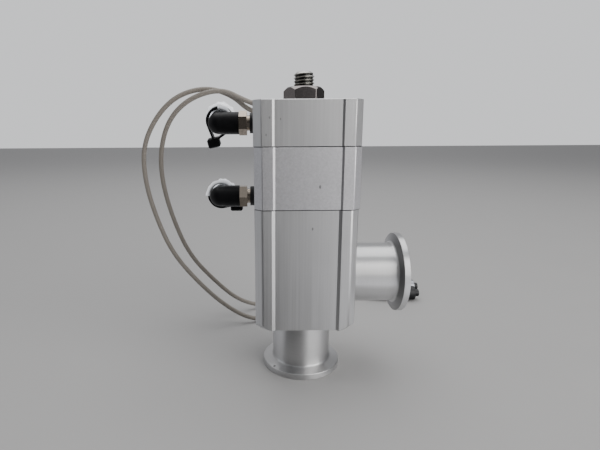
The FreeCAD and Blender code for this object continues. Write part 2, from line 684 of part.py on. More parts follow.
def make_bonnet():
    """Plate between body and main cylinder, with the stem's bush and the fixed seals."""
    body = new_body("bonnet_plate", z=PLATE_BASE)
    height = S.plate_thickness + S.plate_hub_height
    stem = S.stem_diameter / 2 + S.slide_play
    bush = S.bush_diameter / 2 + S.seat_play
    groove = stem + S.seal_section
    step = S.bush_length + S.seat_play
    seal_end = step + S.edge_break + S.seal_section + S.seat_play * 2
    revolve(body, "BonnetTurn", [
        (bush, 0), (S.plate_diameter / 2, 0), (S.plate_diameter / 2, S.plate_thickness),
        (S.plate_hub_diameter / 2, S.plate_thickness), (S.plate_hub_diameter / 2, height),
        (stem, height), (stem, seal_end), (groove, seal_end), (groove, step + S.edge_break),
        (stem, step + S.edge_break), (stem, step), (bush, step)])
    make_ring("stem_bush", stem, S.bush_diameter / 2, S.bush_length, PLATE_BASE)
    half = S.seal_section / 2
    o_ring("stem_seal", stem + half, S.seal_section - S.slide_play,
           PLATE_BASE + step + S.edge_break + half + S.seat_play)
    o_ring("bonnet_seal", plate_seal_radius(), S.seal_section, PLATE_BASE - half)
    o_ring("rod_seal", S.rod_diameter / 2 + S.slide_play + half, S.seal_section - S.slide_play,
           MAIN_TOP - S.main_ceiling / 2)
    o_ring("upper_cylinder_seal", S.upper_bore / 2 + S.seal_section, S.seal_section,
           MAIN_TOP - half)


def make_main_valve():
    """Valve disc, its seal, the hollow stem and the bellows around it."""
    disc = S.disc_diameter / 2
    hub = S.hub_diameter / 2
    room = S.hub_bore / 2
    orifice = S.orifice_bore / 2
    height = S.disc_thickness + S.hub_height
    section = S.disc_seal_section / 2
    groove_top = S.disc_seal_section - S.disc_standoff - S.seat_play
    body = new_body("main_valve_disc", z=DISC_BASE)
    revolve(body, "DiscTurn", [
        (orifice, 0), (S.disc_seal_radius - section, 0), (S.disc_seal_radius - section, groove_top),
        (S.disc_seal_radius + section, groove_top), (S.disc_seal_radius + section, 0), (disc, 0),
        (disc, S.disc_thickness - S.edge_break), (disc - S.edge_break, S.disc_thickness),
        (hub, S.disc_thickness), (hub, height), (room, height), (room, S.orifice_length),
        (orifice, S.orifice_length)])
    vents = new_sketch(body, "VentCircles", "XZ_Plane")
    vent_level = S.disc_thickness + S.vent_bore / 2 + S.edge_break
    add_circle(vents, 0, vent_level, S.vent_bore / 2)
    across = pocket(body, "VentsAcross", vents, S.hub_diameter * 2)
    across.Midplane = True
    vents = new_sketch(body, "VentCirclesSide", "YZ_Plane")
    add_circle(vents, 0, vent_level, S.vent_bore / 2)
    along = pocket(body, "VentsAlong", vents, S.hub_diameter * 2)
    along.Midplane = True

    ring = DOC.addObject("Part::Torus", "DiscSealCord")
    ring.Radius1 = S.disc_seal_radius.value
    ring.Radius2 = section.value
    bind(ring, "Radius1", S.disc_seal_radius)
    bind(ring, "Radius2", section)
    place(ring, z=SEAT + section - S.seat_play)
    trim = DOC.addObject("Part::Cylinder", "DiscSealTrim")
    trim.Radius = disc.value
    trim.Height = S.disc_seal_section.value
    bind(trim, "Radius", disc)
    bind(trim, "Height", S.disc_seal_section)
    place(trim, z=SEAT)
    seal = DOC.addObject("Part::Common", "DiscSeal")
    seal.Base = ring
    seal.Tool = trim
    keep(seal, "main_valve_seal")

    stem = S.stem_diameter / 2
    bore = S.stem_bore / 2
    guide = S.rod_diameter / 2 + S.slide_play
    collar = S.collar_diameter / 2
    spigot = room - S.seat_play
    shoulder = PISTON_BASE - HUB_TOP
    end = shoulder + S.stem_neck_length
    groove = guide + S.seal_section
    gland = S.collar_thickness / 2 - S.spigot_length / 2
    half = S.seal_section / 2 + S.seat_play
    body = new_body("main_stem", z=HUB_TOP)
    revolve(body, "StemTurn", [
        (guide, -S.spigot_length), (spigot, -S.spigot_length), (spigot, 0), (collar, 0),
        (collar, S.collar_thickness), (stem, S.collar_thickness), (stem, shoulder),
        (S.stem_neck_diameter / 2, shoulder), (S.stem_neck_diameter / 2, end), (guide, end),
        (guide, shoulder), (bore, shoulder), (bore, S.collar_thickness),
        (guide, S.collar_thickness), (guide, gland + half), (groove, gland + half),
        (groove, gland - half), (guide, gland - half)])
    o_ring("initial_rod_seal", guide + S.seal_section / 2, S.seal_section - S.slide_play,
           HUB_TOP + gland)

    folds = int(round(S.bellows_folds.value))
    height = PLATE_BASE - BELLOWS_BASE
    pitch = height / S.bellows_folds
    root = S.bellows_inner / 2
    crest = S.bellows_outer / 2
    wall = S.bellows_wall
    outside = []
    inside = []
    for fold in range(folds):
        outside.append((root + wall, pitch * fold))
        outside.append((crest, pitch * (fold + 0.5)))
        inside.append((root, pitch * fold))
        inside.append((crest - wall, pitch * (fold + 0.5)))
    outside.append((root + wall, height))
    inside.append((root, height))
    body = new_body("bellows", z=BELLOWS_BASE)
    revolve(body, "BellowsTurn", outside + inside[::-1])


def make_main_piston():
    """Main piston with seal, magnet and wear ring, its nut and its return spring."""
    skirt = S.main_bore / 2 - S.piston_play
    pocket_outer = skirt - S.piston_rim
    inner = S.stem_neck_diameter / 2 + S.seat_play
    groove = skirt - S.ring_depth
    height = S.main_piston_height
    seal_low = height / 10
    seal_high = seal_low + S.ring_depth
    magnet_low = height * 0.42
    magnet_high = magnet_low + S.ring_depth
    wear_low = height * 0.74
    wear_high = wear_low + S.ring_depth
    shallow = skirt - S.ring_depth / 2
    body = new_body("main_piston", z=PISTON_BASE)
    revolve(body, "MainPistonTurn", [
        (inner, 0), (skirt, 0), (skirt, seal_low), (groove, seal_low), (groove, seal_high),
        (skirt, seal_high), (skirt, magnet_low), (groove, magnet_low), (groove, magnet_high),
        (skirt, magnet_high), (skirt, wear_low), (shallow, wear_low), (shallow, wear_high),
        (skirt, wear_high), (skirt, height), (pocket_outer, height),
        (pocket_outer, S.piston_web), (inner, S.piston_web)])
    play = S.seat_play
    outer = S.main_bore / 2 - S.slide_play
    make_ring("main_piston_seal", groove + play, outer, S.ring_depth - play * 2,
              PISTON_BASE + seal_low + play)
    make_ring("main_piston_magnet", groove + play, skirt - play, S.ring_depth - play * 2,
              PISTON_BASE + magnet_low + play)
    make_ring("main_wear_ring", shallow + play, outer, S.ring_depth - play * 2,
              PISTON_BASE + wear_low + play)
    make_nut("piston_nut", S.piston_nut_flats, S.piston_nut_height, inner,
             PISTON_SPRING_SEAT, S.piston_nut_chamfer)
    make_spring("main_spring", S.main_coil_radius, S.main_wire, S.main_coil_turns,
                PISTON_SPRING_SEAT, MAIN_CEILING)


def make_spring(label, radius, wire, turns, base, top):
    """Round-wire compression spring that fills the height between its two seats."""
    body = new_body(label, z=base)
    sketch = new_sketch(body, label + "Wire", "XZ_Plane")
    add_circle(sketch, radius, wire / 2, wire / 2)
    coil = body.newObject("PartDesign::AdditiveHelix", label + "Coil")
    coil.Profile = sketch
    coil.ReferenceAxis = (sketch, ["V_Axis"])
    coil.Mode = "height-turns-angle"
    rise = top - base - wire
    coil.Height = rise.value
    coil.Turns = turns.value
    bind(coil, "Height", rise)
    bind(coil, "Turns", turns)
    return body


def make_nut(label, flats, height, hole, level, slope, turn=0.0):
    """Hexagon nut with chamfered corners on both faces."""
    body = new_body(label, z=level)
    sketch = new_sketch(body, label + "Hexagon", "XY_Plane")
    add_outline(sketch, hexagon(flats, turn))
    pad(body, label + "Pad", sketch, height)
    corner = flats / math.sqrt(3.0)
    start = flats / 2 - S.edge_break
    reach = corner + S.edge_break
    drop = (reach - start) * tangent(slope)
    for name, level_a, level_b in (("Top", height, height - drop), ("Base", 0, drop)):
        revolve(body, label + name + "Chamfer",
                [(start, level_a), (reach, level_a), (reach, level_b)], cut=True)
    sketch = new_sketch(body, label + "Hole", "XY_Plane")
    add_circle(sketch, 0, 0, hole)
    pocket(body, label + "Bore", sketch, height, reverse=True)
    return body


def make_initial_valve():
    """Small valve on the long rod, its bonded seal, collar and spring."""
    head = S.head_diameter / 2
    rod = S.rod_diameter / 2
    length = INITIAL_PISTON_TOP + S.rod_collar_height + S.rod_tip - HEAD_BASE
    recess = S.head_standoff * 2
    inner = S.head_seal_inner / 2
    outer = S.head_seal_outer / 2
    body = new_body("initial_exhaust_rod", z=HEAD_BASE)
    revolve(body, "RodTurn", [
        (0, 0), (inner, 0), (inner, recess), (outer, recess), (outer, 0), (head, 0),
        (head, S.head_thickness - S.edge_break), (head - S.edge_break, S.head_thickness),
        (rod, S.head_thickness), (rod, length - S.edge_break), (rod - S.edge_break, length),
        (0, length)])
    make_ring("initial_valve_seal", inner + S.seat_play, outer - S.seat_play,
              S.head_standoff + recess, HEAD_SEAT)
    make_ring("rod_collar", rod + S.seat_play, S.rod_collar_diameter / 2, S.rod_collar_height,
              INITIAL_PISTON_TOP)
    make_spring("initial_valve_spring", S.head_coil_radius, S.head_wire, S.head_coil_turns,
                HEAD_BASE + S.head_thickness, HUB_TOP - S.spigot_length)


def make_initial_piston():
    """Piston of the initial exhaust with seal, magnet, rod seal and spring."""
    skirt = S.upper_bore / 2 - S.piston_play
    groove = skirt - S.initial_ring_depth
    height = S.initial_piston_height
    web = S.initial_piston_web
    rod = S.rod_diameter / 2 + S.slide_play
    seal_low = height * 0.12
    seal_high = seal_low + S.ring_depth
    magnet_low = height * 0.55
    magnet_high = magnet_low + S.ring_depth
    boss = S.screw_diameter / 2 + S.seal_section
    pocket_outer = groove - S.edge_break * 2
    bore_groove = rod + S.seal_section
    middle = height / 2
    half = S.seal_section / 2 + S.seat_play
    body = new_body("initial_piston", z=INITIAL_PISTON_BASE)
    revolve(body, "InitialPistonTurn", [
        (rod, 0), (skirt, 0), (skirt, seal_low), (groove, seal_low), (groove, seal_high),
        (skirt, seal_high), (skirt, magnet_low), (groove, magnet_low), (groove, magnet_high),
        (skirt, magnet_high), (skirt, height), (pocket_outer, height), (pocket_outer, web),
        (boss, web), (boss, height), (rod, height), (rod, middle + half),
        (bore_groove, middle + half), (bore_groove, middle - half), (rod, middle - half)])
    play = S.seat_play
    make_ring("initial_piston_seal", groove + play, S.upper_bore / 2 - S.slide_play,
              S.ring_depth - play * 2, INITIAL_PISTON_BASE + seal_low + play)
    make_ring("initial_piston_magnet", groove + play, skirt - play, S.ring_depth - play * 2,
              INITIAL_PISTON_BASE + magnet_low + play)
    o_ring("piston_rod_seal", rod + S.seal_section / 2, S.seal_section - S.slide_play,
           INITIAL_PISTON_BASE + middle)
    make_spring("initial_spring", S.initial_coil_radius, S.initial_wire, S.initial_coil_turns,
                INITIAL_PISTON_BASE + web, UPPER_CEILING)


def make_adjuster():
    """Adjusting screw that stops the upper piston, and its lock nut."""
    length = VALVE_TOP + S.screw_above - SCREW_BASE
    screw = S.screw_diameter / 2
    bore = S.screw_bore / 2
    chamfer = S.edge_break * 2.5
    body = new_body("adjusting_screw", z=SCREW_BASE)
    revolve(body, "ScrewTurn", [
        (bore, 0), (screw, 0), (screw, length - chamfer), (screw - S.screw_point, length),
        (0, length), (0, S.screw_bore_depth), (bore, S.screw_bore_depth)])
    socket = new_sketch(body, "ScrewKey", "XY_Plane", length)
    add_outline(socket, hexagon(S.screw_key))
    pocket(body, "ScrewSocket", socket, S.screw_key_depth)
    make_nut("lock_nut", S.nut_flats, S.nut_height, screw + S.seat_play, VALVE_TOP,
             S.nut_chamfer, S.nut_turn.value)


def stack_cylinder(name, radius, height, x=0, y=0, z=0, direction=None):
    """Plain cylinder primitive tied to the sheet, along a direction."""
    item = DOC.addObject("Part::Cylinder", name)
    item.Radius = as_size(radius).value
    item.Height = as_size(height).value
    bind(item, "Radius", radius)
    bind(item, "Height", height)
    rotation = FreeCAD.Rotation(FreeCAD.Vector(0, 0, 1), direction or FreeCAD.Vector(0, 0, 1))
    place(item, x, y, z, rotation)
    return item


def make_fitting(prefix, face, gasket_thickness, level, hex_turn, swivel):
    """Elbow fitting in a pilot port: gasket, stud, elbow, release button, cover and tie."""
    left = FreeCAD.Vector(-1, 0, 0)
    turn = FreeCAD.Rotation(FreeCAD.Vector(1, 0, 0), swivel)
    back = turn.multVec(FreeCAD.Vector(0, 1, 0))
    gasket_end = face + gasket_thickness
    hex_start = gasket_end + S.stud_collar_length
    hex_end = hex_start + S.stud_hex_length
    elbow_start = hex_end + S.elbow_gap
    axis_x = hex_end + S.elbow_arm
    arm = S.elbow_diameter / 2

    thread = S.pilot_thread / 2
    body = new_body(prefix + "_port_gasket", z=level)
    revolve(body, prefix + "GasketTurn", [
        (-face, thread + S.seat_play), (-gasket_end, thread + S.seat_play),
        (-gasket_end, S.gasket_diameter / 2), (-face, S.gasket_diameter / 2)], axis="H_Axis")

    body = new_body(prefix + "_fitting_stud", z=level)
    air = S.stud_bore / 2
    collar = S.stud_collar_diameter / 2
    spigot = S.spigot_diameter / 2
    tip = hex_end + S.spigot_reach
    revolve(body, prefix + "StudTurn", [
        (S.stud_thread_length - face, air), (S.stud_thread_length - face, thread),
        (-gasket_end, thread), (-gasket_end, collar), (-hex_start, collar),
        (-hex_end, collar), (-hex_end, spigot), (-tip, spigot), (-tip, air)], axis="H_Axis")
    sketch = new_sketch(body, prefix + "StudHexagon", "YZ_Plane", -hex_end)
    add_outline(sketch, hexagon(S.stud_flats, hex_turn))
    pad(body, prefix + "StudHex", sketch, S.stud_hex_length)
    sketch = new_sketch(body, prefix + "StudAir", "YZ_Plane", -tip)
    add_circle(sketch, 0, 0, air)
    pocket(body, prefix + "StudAirWay", sketch, tip - face + S.stud_thread_length, reverse=True)

    solid = DOC.addObject("Part::MultiFuse", prefix + "ElbowSolid")
    heel = DOC.addObject("Part::Sphere", prefix + "ElbowHeel")
    heel.Radius = arm.value
    bind(heel, "Radius", arm)
    place(heel, -axis_x, 0, level)
    band_length = axis_x - S.elbow_band_end - elbow_start
    solid.Shapes = [
        stack_cylinder(prefix + "ElbowArm", arm, axis_x - elbow_start, -elbow_start, 0, level,
                       left),
        stack_cylinder(prefix + "ElbowBand", arm + S.elbow_band_step, band_length,
                       -elbow_start, 0, level, left),
        heel,
        stack_cylinder(prefix + "ElbowOutlet", arm, S.outlet_length, -axis_x, 0, level, back),
    ]
    hollow = DOC.addObject("Part::MultiFuse", prefix + "ElbowHollow")
    button_hole = S.release_diameter / 2 + S.seat_play
    start = S.outlet_length - S.release_length + S.release_reach
    hollow.Shapes = [
        stack_cylinder(prefix + "ElbowSocket", spigot + S.slide_play,
                       S.spigot_reach + S.elbow_gap, -elbow_start + S.elbow_gap, 0, level, left),
        stack_cylinder(prefix + "ElbowAir", S.tube_bore / 2, axis_x - elbow_start, -elbow_start,
                       0, level, left),
        stack_cylinder(prefix + "ElbowTube", S.tube_bore / 2, S.outlet_length, -axis_x, 0,
                       level, back),
        stack_cylinder(prefix + "ElbowButton", button_hole, S.release_length, -axis_x,
                       start * back.y, level + start * back.z, back),
    ]
    elbow = DOC.addObject("Part::Cut", prefix + "Elbow")
    elbow.Base = solid
    elbow.Tool = hollow
    keep(elbow, prefix + "_elbow")

    body = new_body(prefix + "_release_button", -axis_x, 0, level, turn)
    end = S.outlet_length + S.release_reach
    button = S.release_diameter / 2
    revolve(body, prefix + "ButtonTurn", [
        (S.tube_bore / 2, start), (button, start), (button, end - S.edge_break),
        (button - S.edge_break, end), (S.tube_bore / 2, end)], role="XY_Plane")

    make_cover(prefix, axis_x, level, turn)
    make_tie(prefix, axis_x, level, turn)


def make_cover(prefix, axis_x, level, turn):
    """Thin dust cover over the outlet, gathered under the tie and closed behind."""
    wall = S.cover_wall
    start = S.cover_start
    neck = S.cover_neck_radius
    bag = S.cover_bag_radius
    gathered = start + S.cover_neck_length
    wide = gathered + (bag - neck) * 0.6
    tail = start + S.cover_length
    shoulder = tail - bag * 0.45
    body = new_body(prefix + "_dust_cover", -axis_x, 0, level, turn)
    revolve(body, prefix + "CoverTurn", [
        (neck, start), (neck, gathered), (bag, wide), (bag, shoulder), (bag * 0.6, tail),
        (0, tail), (0, tail - wall), (bag * 0.6 - wall * 0.6, tail - wall),
        (bag - wall, shoulder - wall * 0.5), (bag - wall, wide + wall * 0.5),
        (neck - wall, gathered + wall * 0.5), (neck - wall, start)], role="XY_Plane")


def make_tie(prefix, axis_x, level, turn):
    """Cable tie: a loop round the cover that is drawn to a point at its head."""
    toward, head_reach, head_turn = {
        "upper": (S.upper_head_angle, S.upper_head_reach, S.upper_head_turn),
        "lower": (S.lower_head_angle, S.lower_head_reach, S.lower_head_turn)}[prefix]
    toward = math.radians(toward.value)
    radius = S.cover_neck_radius.value + S.tie_gap.value
    back = turn.multVec(FreeCAD.Vector(0, 1, 0))
    distance = radius + head_reach.value
    half_open = math.acos(radius / distance)
    apex = FreeCAD.Vector(distance * math.cos(toward), 0, distance * math.sin(toward))

    def spot(angle):
        return FreeCAD.Vector(radius * math.cos(angle), 0, radius * math.sin(angle))

    first, last = spot(toward + half_open), spot(toward - half_open)
    far = spot(toward + math.pi)
    loop = Part.Wire([Part.Arc(first, far, last).toShape(), Part.makeLine(last, apex),
                      Part.makeLine(apex, first)])
    inner = Part.Face(loop)
    outer = inner.makeOffset2D(S.tie_thickness.value)
    band = outer.cut(inner).extrude(FreeCAD.Vector(0, S.tie_width.value, 0))
    side = S.tie_head.value
    head = Part.makeBox(side, S.tie_width.value + S.tie_thickness.value, side * 0.75,
                        FreeCAD.Vector(-side / 2, 0, -side * 0.375))
    head = head.makeChamfer(S.edge_break.value * 1.5, head.Edges)
    head.rotate(FreeCAD.Vector(), FreeCAD.Vector(0, -1, 0), head_turn.value)
    head.translate(apex + FreeCAD.Vector(apex).normalize() * side * 0.3)
    tie = DOC.addObject("Part::Feature", prefix + "Tie")
    tie.Shape = band.fuse(head).removeSplitter()
    start = S.cover_start - S.tie_reach
    place(tie, -axis_x, start * as_size(back.y), level + start * as_size(back.z), turn)
    keep(tie, prefix + "_cable_tie")


def make_switches():
    """Two switches in the rear slots, from just above the body."""
    for name, side in (("right_switch", 1), ("left_switch", -1)):
        body = new_body(name, S.slot_offset * side, slot_centre(), BODY_TOP + S.switch_rise)
        round_half = S.switch_diameter / 2
        revolve(body, name + "Turn", [
            (0, 0), (round_half - S.edge_break, 0), (round_half, S.edge_break),
            (round_half, S.switch_length - S.edge_break),
            (round_half - S.edge_break, S.switch_length), (0, S.switch_length)])
        sketch = new_sketch(body, name + "TongueOutline", "XY_Plane")
        half = S.slot_width / 2 - S.seat_play
        back = S.slot_centre_depth - panel_depth(S.block_slope_width) - S.edge_break / 2
        add_outline(sketch, [(-half, 0), (half, 0), (half, back), (-half, back)])
        pad(body, name + "Tongue", sketch, S.switch_length)


def lead_path(points):
    """Straight runs joined by arcs as large as the runs allow, with the arcs' radii."""
    points = [FreeCAD.Vector(*point) for point in points]
    edges = []
    radii = []
    here = points[0]
    for before, corner, after in zip(points, points[1:], points[2:]):
        back = before - corner
        forward = after - corner
        turn = math.pi - back.getAngle(forward)
        reach = 0.45 * min(back.Length, forward.Length)
        radii.append(reach / math.tan(turn / 2))
        start = corner + FreeCAD.Vector(back).normalize() * reach
        end = corner + FreeCAD.Vector(forward).normalize() * reach
        bisector = (FreeCAD.Vector(back).normalize() + FreeCAD.Vector(forward).normalize())
        bisector.normalize()
        depth = radii[-1] / math.cos(turn / 2) - radii[-1]
        edges.append(Part.LineSegment(here, start).toShape())
        edges.append(Part.Arc(start, corner + bisector * depth, end).toShape())
        here = end
    edges.append(Part.LineSegment(here, points[-1]).toShape())
    return Part.Wire(edges), radii


def make_lead(name, side):
    """Round lead from a switch to its plug, checked by its volume."""
    label = "switch_lead_" + name
    start = (S.slot_offset.value * side, slot_centre().value,
             (BODY_TOP + S.switch_rise + S.switch_length).value)
    points = [start, (start[0], start[1], start[2] + LEAD_RISE)] + LEAD_POINTS[name]
    path, radii = lead_path(points)
    radius = S.lead_diameter.value / 2
    direction = FreeCAD.Vector(*points[1]) - FreeCAD.Vector(*points[0])
    ring = Part.Wire(Part.makeCircle(radius, FreeCAD.Vector(*points[0]), direction))
    tube = path.makePipeShell([ring], True, True)
    expected = math.pi * radius ** 2 * path.Length
    print(f"{label}: length {path.Length:.1f}, least radius {min(radii):.1f}, "
          f"volume ratio {tube.Volume / expected:.4f}")
    lead = DOC.addObject("Part::Feature", label)
    lead.Shape = tube
    lead.Placement = FreeCAD.Placement()
    keep(lead, label)


def make_plug(prefix, point):
    """Moulded plug at a lead's end, with its coupling nut, lying along +X."""
    x, y, centre = point
    nose = S.plug_nut_diameter / 2
    core = S.plug_diameter / 2
    lead = S.lead_diameter / 2
    sleeve_end = S.plug_sleeve
    shoulder = sleeve_end + S.plug_shoulder
    grip_end = shoulder + S.plug_grip
    nut_end = grip_end + S.plug_nut_length
    tip = nut_end + S.plug_tip
    body = new_body(prefix + "_plug", x, y, centre)
    revolve(body, prefix + "PlugTurn", [
        (0, 0), (0, lead + S.edge_break * 2), (sleeve_end, lead + S.edge_break * 4),
        (shoulder, core - S.edge_break), (grip_end - S.edge_break, core - S.edge_break),
        (grip_end - S.edge_break, core * 0.55), (nut_end, core * 0.55), (tip, core * 0.55),
        (tip, 0)], axis="H_Axis")
    inner = core * 0.55 + S.slide_play
    body = new_body(prefix + "_coupling_nut", x, y, centre)
    revolve(body, prefix + "NutTurn", [
        (grip_end, inner), (grip_end, nose - S.edge_break), (grip_end + S.edge_break, nose),
        (nut_end - S.edge_break, nose), (nut_end, nose - S.edge_break), (nut_end, inner)],
        axis="H_Axis")


def build():
    """Make every sub-part."""
    make_valve_body()
    make_main_cylinder()
    make_upper_cylinder()
    make_bolts()
    make_bonnet()
    make_main_valve()
    make_main_piston()
    make_initial_valve()
    make_initial_piston()
    make_adjuster()
    face = BLOCK_WIDTH / 2 - panel_depth(S.block_slope_width)
    make_fitting("upper", face, S.upper_gasket_thickness, MAIN_TOP + S.upper_port_level,
                 30.0, S.upper_swivel.value)
    make_fitting("lower", face - S.main_block_shift, S.lower_gasket_thickness,
                 BODY_TOP + S.main_port_level, 0.0, S.lower_swivel.value)
    make_switches()
    for name, side in (("outer", 1), ("inner", -1)):
        make_lead(name, side)
        make_plug(name, LEAD_POINTS[name][-1])


def check():
    """Stop if anything failed or a sub-part has no sound solid."""
    DOC.recompute()
    for item in DOC.Objects:
        if "Invalid" in item.State or "Error" in item.State:
            raise RuntimeError(f"{item.Name} failed: {item.State}")
    for item in PARTS:
        shape = item.Shape
        if shape.isNull() or not shape.isValid() or not shape.Solids:
            raise RuntimeError(f"{item.Label} has no sound solid")


def write():
    """Write one file for each sub-part."""
    os.makedirs("parts", exist_ok=True)
    for item in PARTS:
        item.Shape.exportStep(os.path.join("parts", item.Label + ".step"))
    print(f"{len(PARTS)} sub-parts written")


build()
check()
write()
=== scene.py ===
"""Looks of the two-stage high vacuum angle valve: finishes, thread, covers, leads and stage."""

import json
import math

import bmesh
import bpy
from mathutils import Matrix, Vector


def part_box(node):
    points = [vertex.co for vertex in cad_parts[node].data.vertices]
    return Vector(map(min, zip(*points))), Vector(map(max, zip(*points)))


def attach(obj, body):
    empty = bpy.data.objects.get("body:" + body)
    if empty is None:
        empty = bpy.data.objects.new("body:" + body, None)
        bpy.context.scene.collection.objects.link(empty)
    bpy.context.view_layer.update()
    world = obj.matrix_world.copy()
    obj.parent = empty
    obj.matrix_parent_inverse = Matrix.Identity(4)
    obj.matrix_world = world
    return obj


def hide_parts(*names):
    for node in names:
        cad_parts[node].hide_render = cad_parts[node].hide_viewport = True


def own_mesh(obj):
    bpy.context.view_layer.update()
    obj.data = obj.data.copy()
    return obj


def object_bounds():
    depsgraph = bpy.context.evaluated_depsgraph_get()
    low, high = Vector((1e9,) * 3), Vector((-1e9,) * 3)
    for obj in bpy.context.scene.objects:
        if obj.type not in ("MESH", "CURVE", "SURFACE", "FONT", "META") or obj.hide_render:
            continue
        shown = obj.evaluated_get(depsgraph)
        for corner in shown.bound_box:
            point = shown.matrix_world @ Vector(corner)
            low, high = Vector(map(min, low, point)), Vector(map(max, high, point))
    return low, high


bl_info = {
    "name": "High vacuum angle valve",
    "version": (1, 0, 0),
    "blender": (4, 5, 0),
    "location": "View3D > Sidebar > Valve",
    "description": "Finishes, thread, ribs, dust covers, leads and stage of a vacuum angle valve",
    "category": "Object",
}

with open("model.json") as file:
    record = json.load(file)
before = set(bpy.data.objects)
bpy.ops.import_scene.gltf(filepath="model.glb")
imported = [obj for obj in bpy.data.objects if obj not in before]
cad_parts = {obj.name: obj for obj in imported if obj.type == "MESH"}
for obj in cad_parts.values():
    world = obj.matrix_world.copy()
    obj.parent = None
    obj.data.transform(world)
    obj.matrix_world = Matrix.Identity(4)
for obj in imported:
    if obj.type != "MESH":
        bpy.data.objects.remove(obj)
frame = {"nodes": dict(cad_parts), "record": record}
NODES = frame["nodes"]
CAD_BOX = [list(corner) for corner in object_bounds()]
MM = 0.001

# Points that each lead passes, as in the part's source, in millimetres
LEAD_COURSES = {
    "outer": [
        (8.0, 21.4, 106.3), (8.0, 21.4, 115.3),
        (8.0, 28.3, 126.6), (-1.4, 34.5, 133.8), (-14.4, 36.6, 132.2), (-26.6, 34.3, 132.3),
        (-36.5, 34.2, 141.4), (-50.6, 35.4, 145.9), (-67.1, 35.5, 142.1), (-79.7, 36.1, 131.0),
        (-88.8, 36.4, 113.9), (-89.1, 37.6, 93.2), (-84.1, 38.9, 71.3), (-76.1, 40.6, 49.5),
        (-62.6, 43.2, 30.5), (-45.5, 45.7, 12.5), (-26.9, 46.2, 1.5), (-8.1, 53.5, 1.5),
        (8.0, 62.0, 1.5), (21.0, 72.0, 1.5), (33.0, 80.5, 3.0), (44.0, 85.0, 5.0),
        (55.4, 85.0, 5.0),
    ],
    "inner": [
        (-8.0, 21.4, 106.3), (-8.0, 21.4, 115.3),
        (-8.0, 28.0, 126.7), (-17.0, 33.3, 134.3), (-29.2, 30.7, 138.1), (-42.2, 30.8, 144.7),
        (-59.7, 32.0, 140.2), (-72.5, 34.1, 129.1), (-79.0, 36.8, 111.9), (-79.9, 40.9, 92.0),
        (-75.2, 45.6, 68.0), (-67.2, 50.1, 45.2), (-53.8, 56.1, 26.8), (-38.4, 63.5, 9.3),
        (-22.5, 70.5, 1.5), (-6.0, 79.0, 1.5), (9.0, 86.5, 1.5), (23.0, 93.0, 1.5),
        (36.0, 97.5, 3.2), (48.0, 99.0, 5.0), (59.4, 99.0, 5.0),
    ],
}


class ValveMetalSettings(bpy.types.PropertyGroup):
    """Tones of the aluminium and rounding of its drawn corners"""
    body_tone: bpy.props.FloatVectorProperty(
        name="Body tone", description="Colour of the drawn body and top block, and of the ports",
        subtype="COLOR", size=3, min=0.0, max=1.0, default=(0.60, 0.60, 0.60))
    block_tone: bpy.props.FloatVectorProperty(
        name="Block tone", description="Colour of the blasted middle block",
        subtype="COLOR", size=3, min=0.0, max=1.0, default=(0.63, 0.625, 0.64))
    satin: bpy.props.FloatProperty(
        name="Satin", description="Roughness of the aluminium faces",
        subtype="FACTOR", min=0.05, max=1.0, default=0.42)
    corner: bpy.props.FloatProperty(
        name="Corner", description="Rounding of the drawn corners of body and blocks",
        subtype="DISTANCE", unit="LENGTH", min=0.0, max=0.002, default=0.0006)


class ValveThreadSettings(bpy.types.PropertyGroup):
    """Thread of the adjusting screw"""
    pitch: bpy.props.FloatProperty(
        name="Pitch", description="Rise of the adjusting screw's thread in one turn",
        subtype="DISTANCE", unit="LENGTH", min=0.0005, max=0.003, default=0.0015)
    depth: bpy.props.FloatProperty(
        name="Depth", description="Depth of the thread",
        subtype="DISTANCE", unit="LENGTH", min=0.0002, max=0.002, default=0.0008)


class ValveLockNutSettings(bpy.types.PropertyGroup):
    """Turn and corners of the lock nut"""
    turn: bpy.props.FloatProperty(
        name="Turn", description="Turn of the tightened nut from its drawn place",
        subtype="ANGLE", unit="ROTATION", min=-0.53, max=0.53, default=math.radians(-4.1))
    corner: bpy.props.FloatProperty(
        name="Corner", description="Rounding of the nut's upright corners",
        subtype="DISTANCE", unit="LENGTH", min=0.0, max=0.001, default=0.00045)


class ValveNutRibSettings(bpy.types.PropertyGroup):
    """Grip ribs of the coupling nuts"""
    count: bpy.props.IntProperty(
        name="Ribs", description="Grip ribs round each coupling nut", min=6, max=48, default=20)
    height: bpy.props.FloatProperty(
        name="Height", description="Height of a grip rib",
        subtype="DISTANCE", unit="LENGTH", min=0.0001, max=0.001, default=0.0003)


class ValveFilmSettings(bpy.types.PropertyGroup):
    """Film of the dust covers"""
    wall: bpy.props.FloatProperty(
        name="Wall", description="Thickness of the film covers",
        subtype="DISTANCE", unit="LENGTH", min=0.0001, max=0.0006, default=0.00025)
    pleat: bpy.props.FloatProperty(
        name="Pleat", description="Depth of the folds of the film covers",
        subtype="DISTANCE", unit="LENGTH", min=0.0, max=0.0005, default=0.00022)


class ValveLeadSettings(bpy.types.PropertyGroup):
    """Switch leads"""
    diameter: bpy.props.FloatProperty(
        name="Diameter", description="Outside of the switch leads",
        subtype="DISTANCE", unit="LENGTH", min=0.001, max=0.006, default=0.0027)
    sheath_tone: bpy.props.FloatVectorProperty(
        name="Sheath tone", description="Colour of the leads",
        subtype="COLOR", size=3, min=0.0, max=1.0, default=(0.285, 0.258, 0.226))


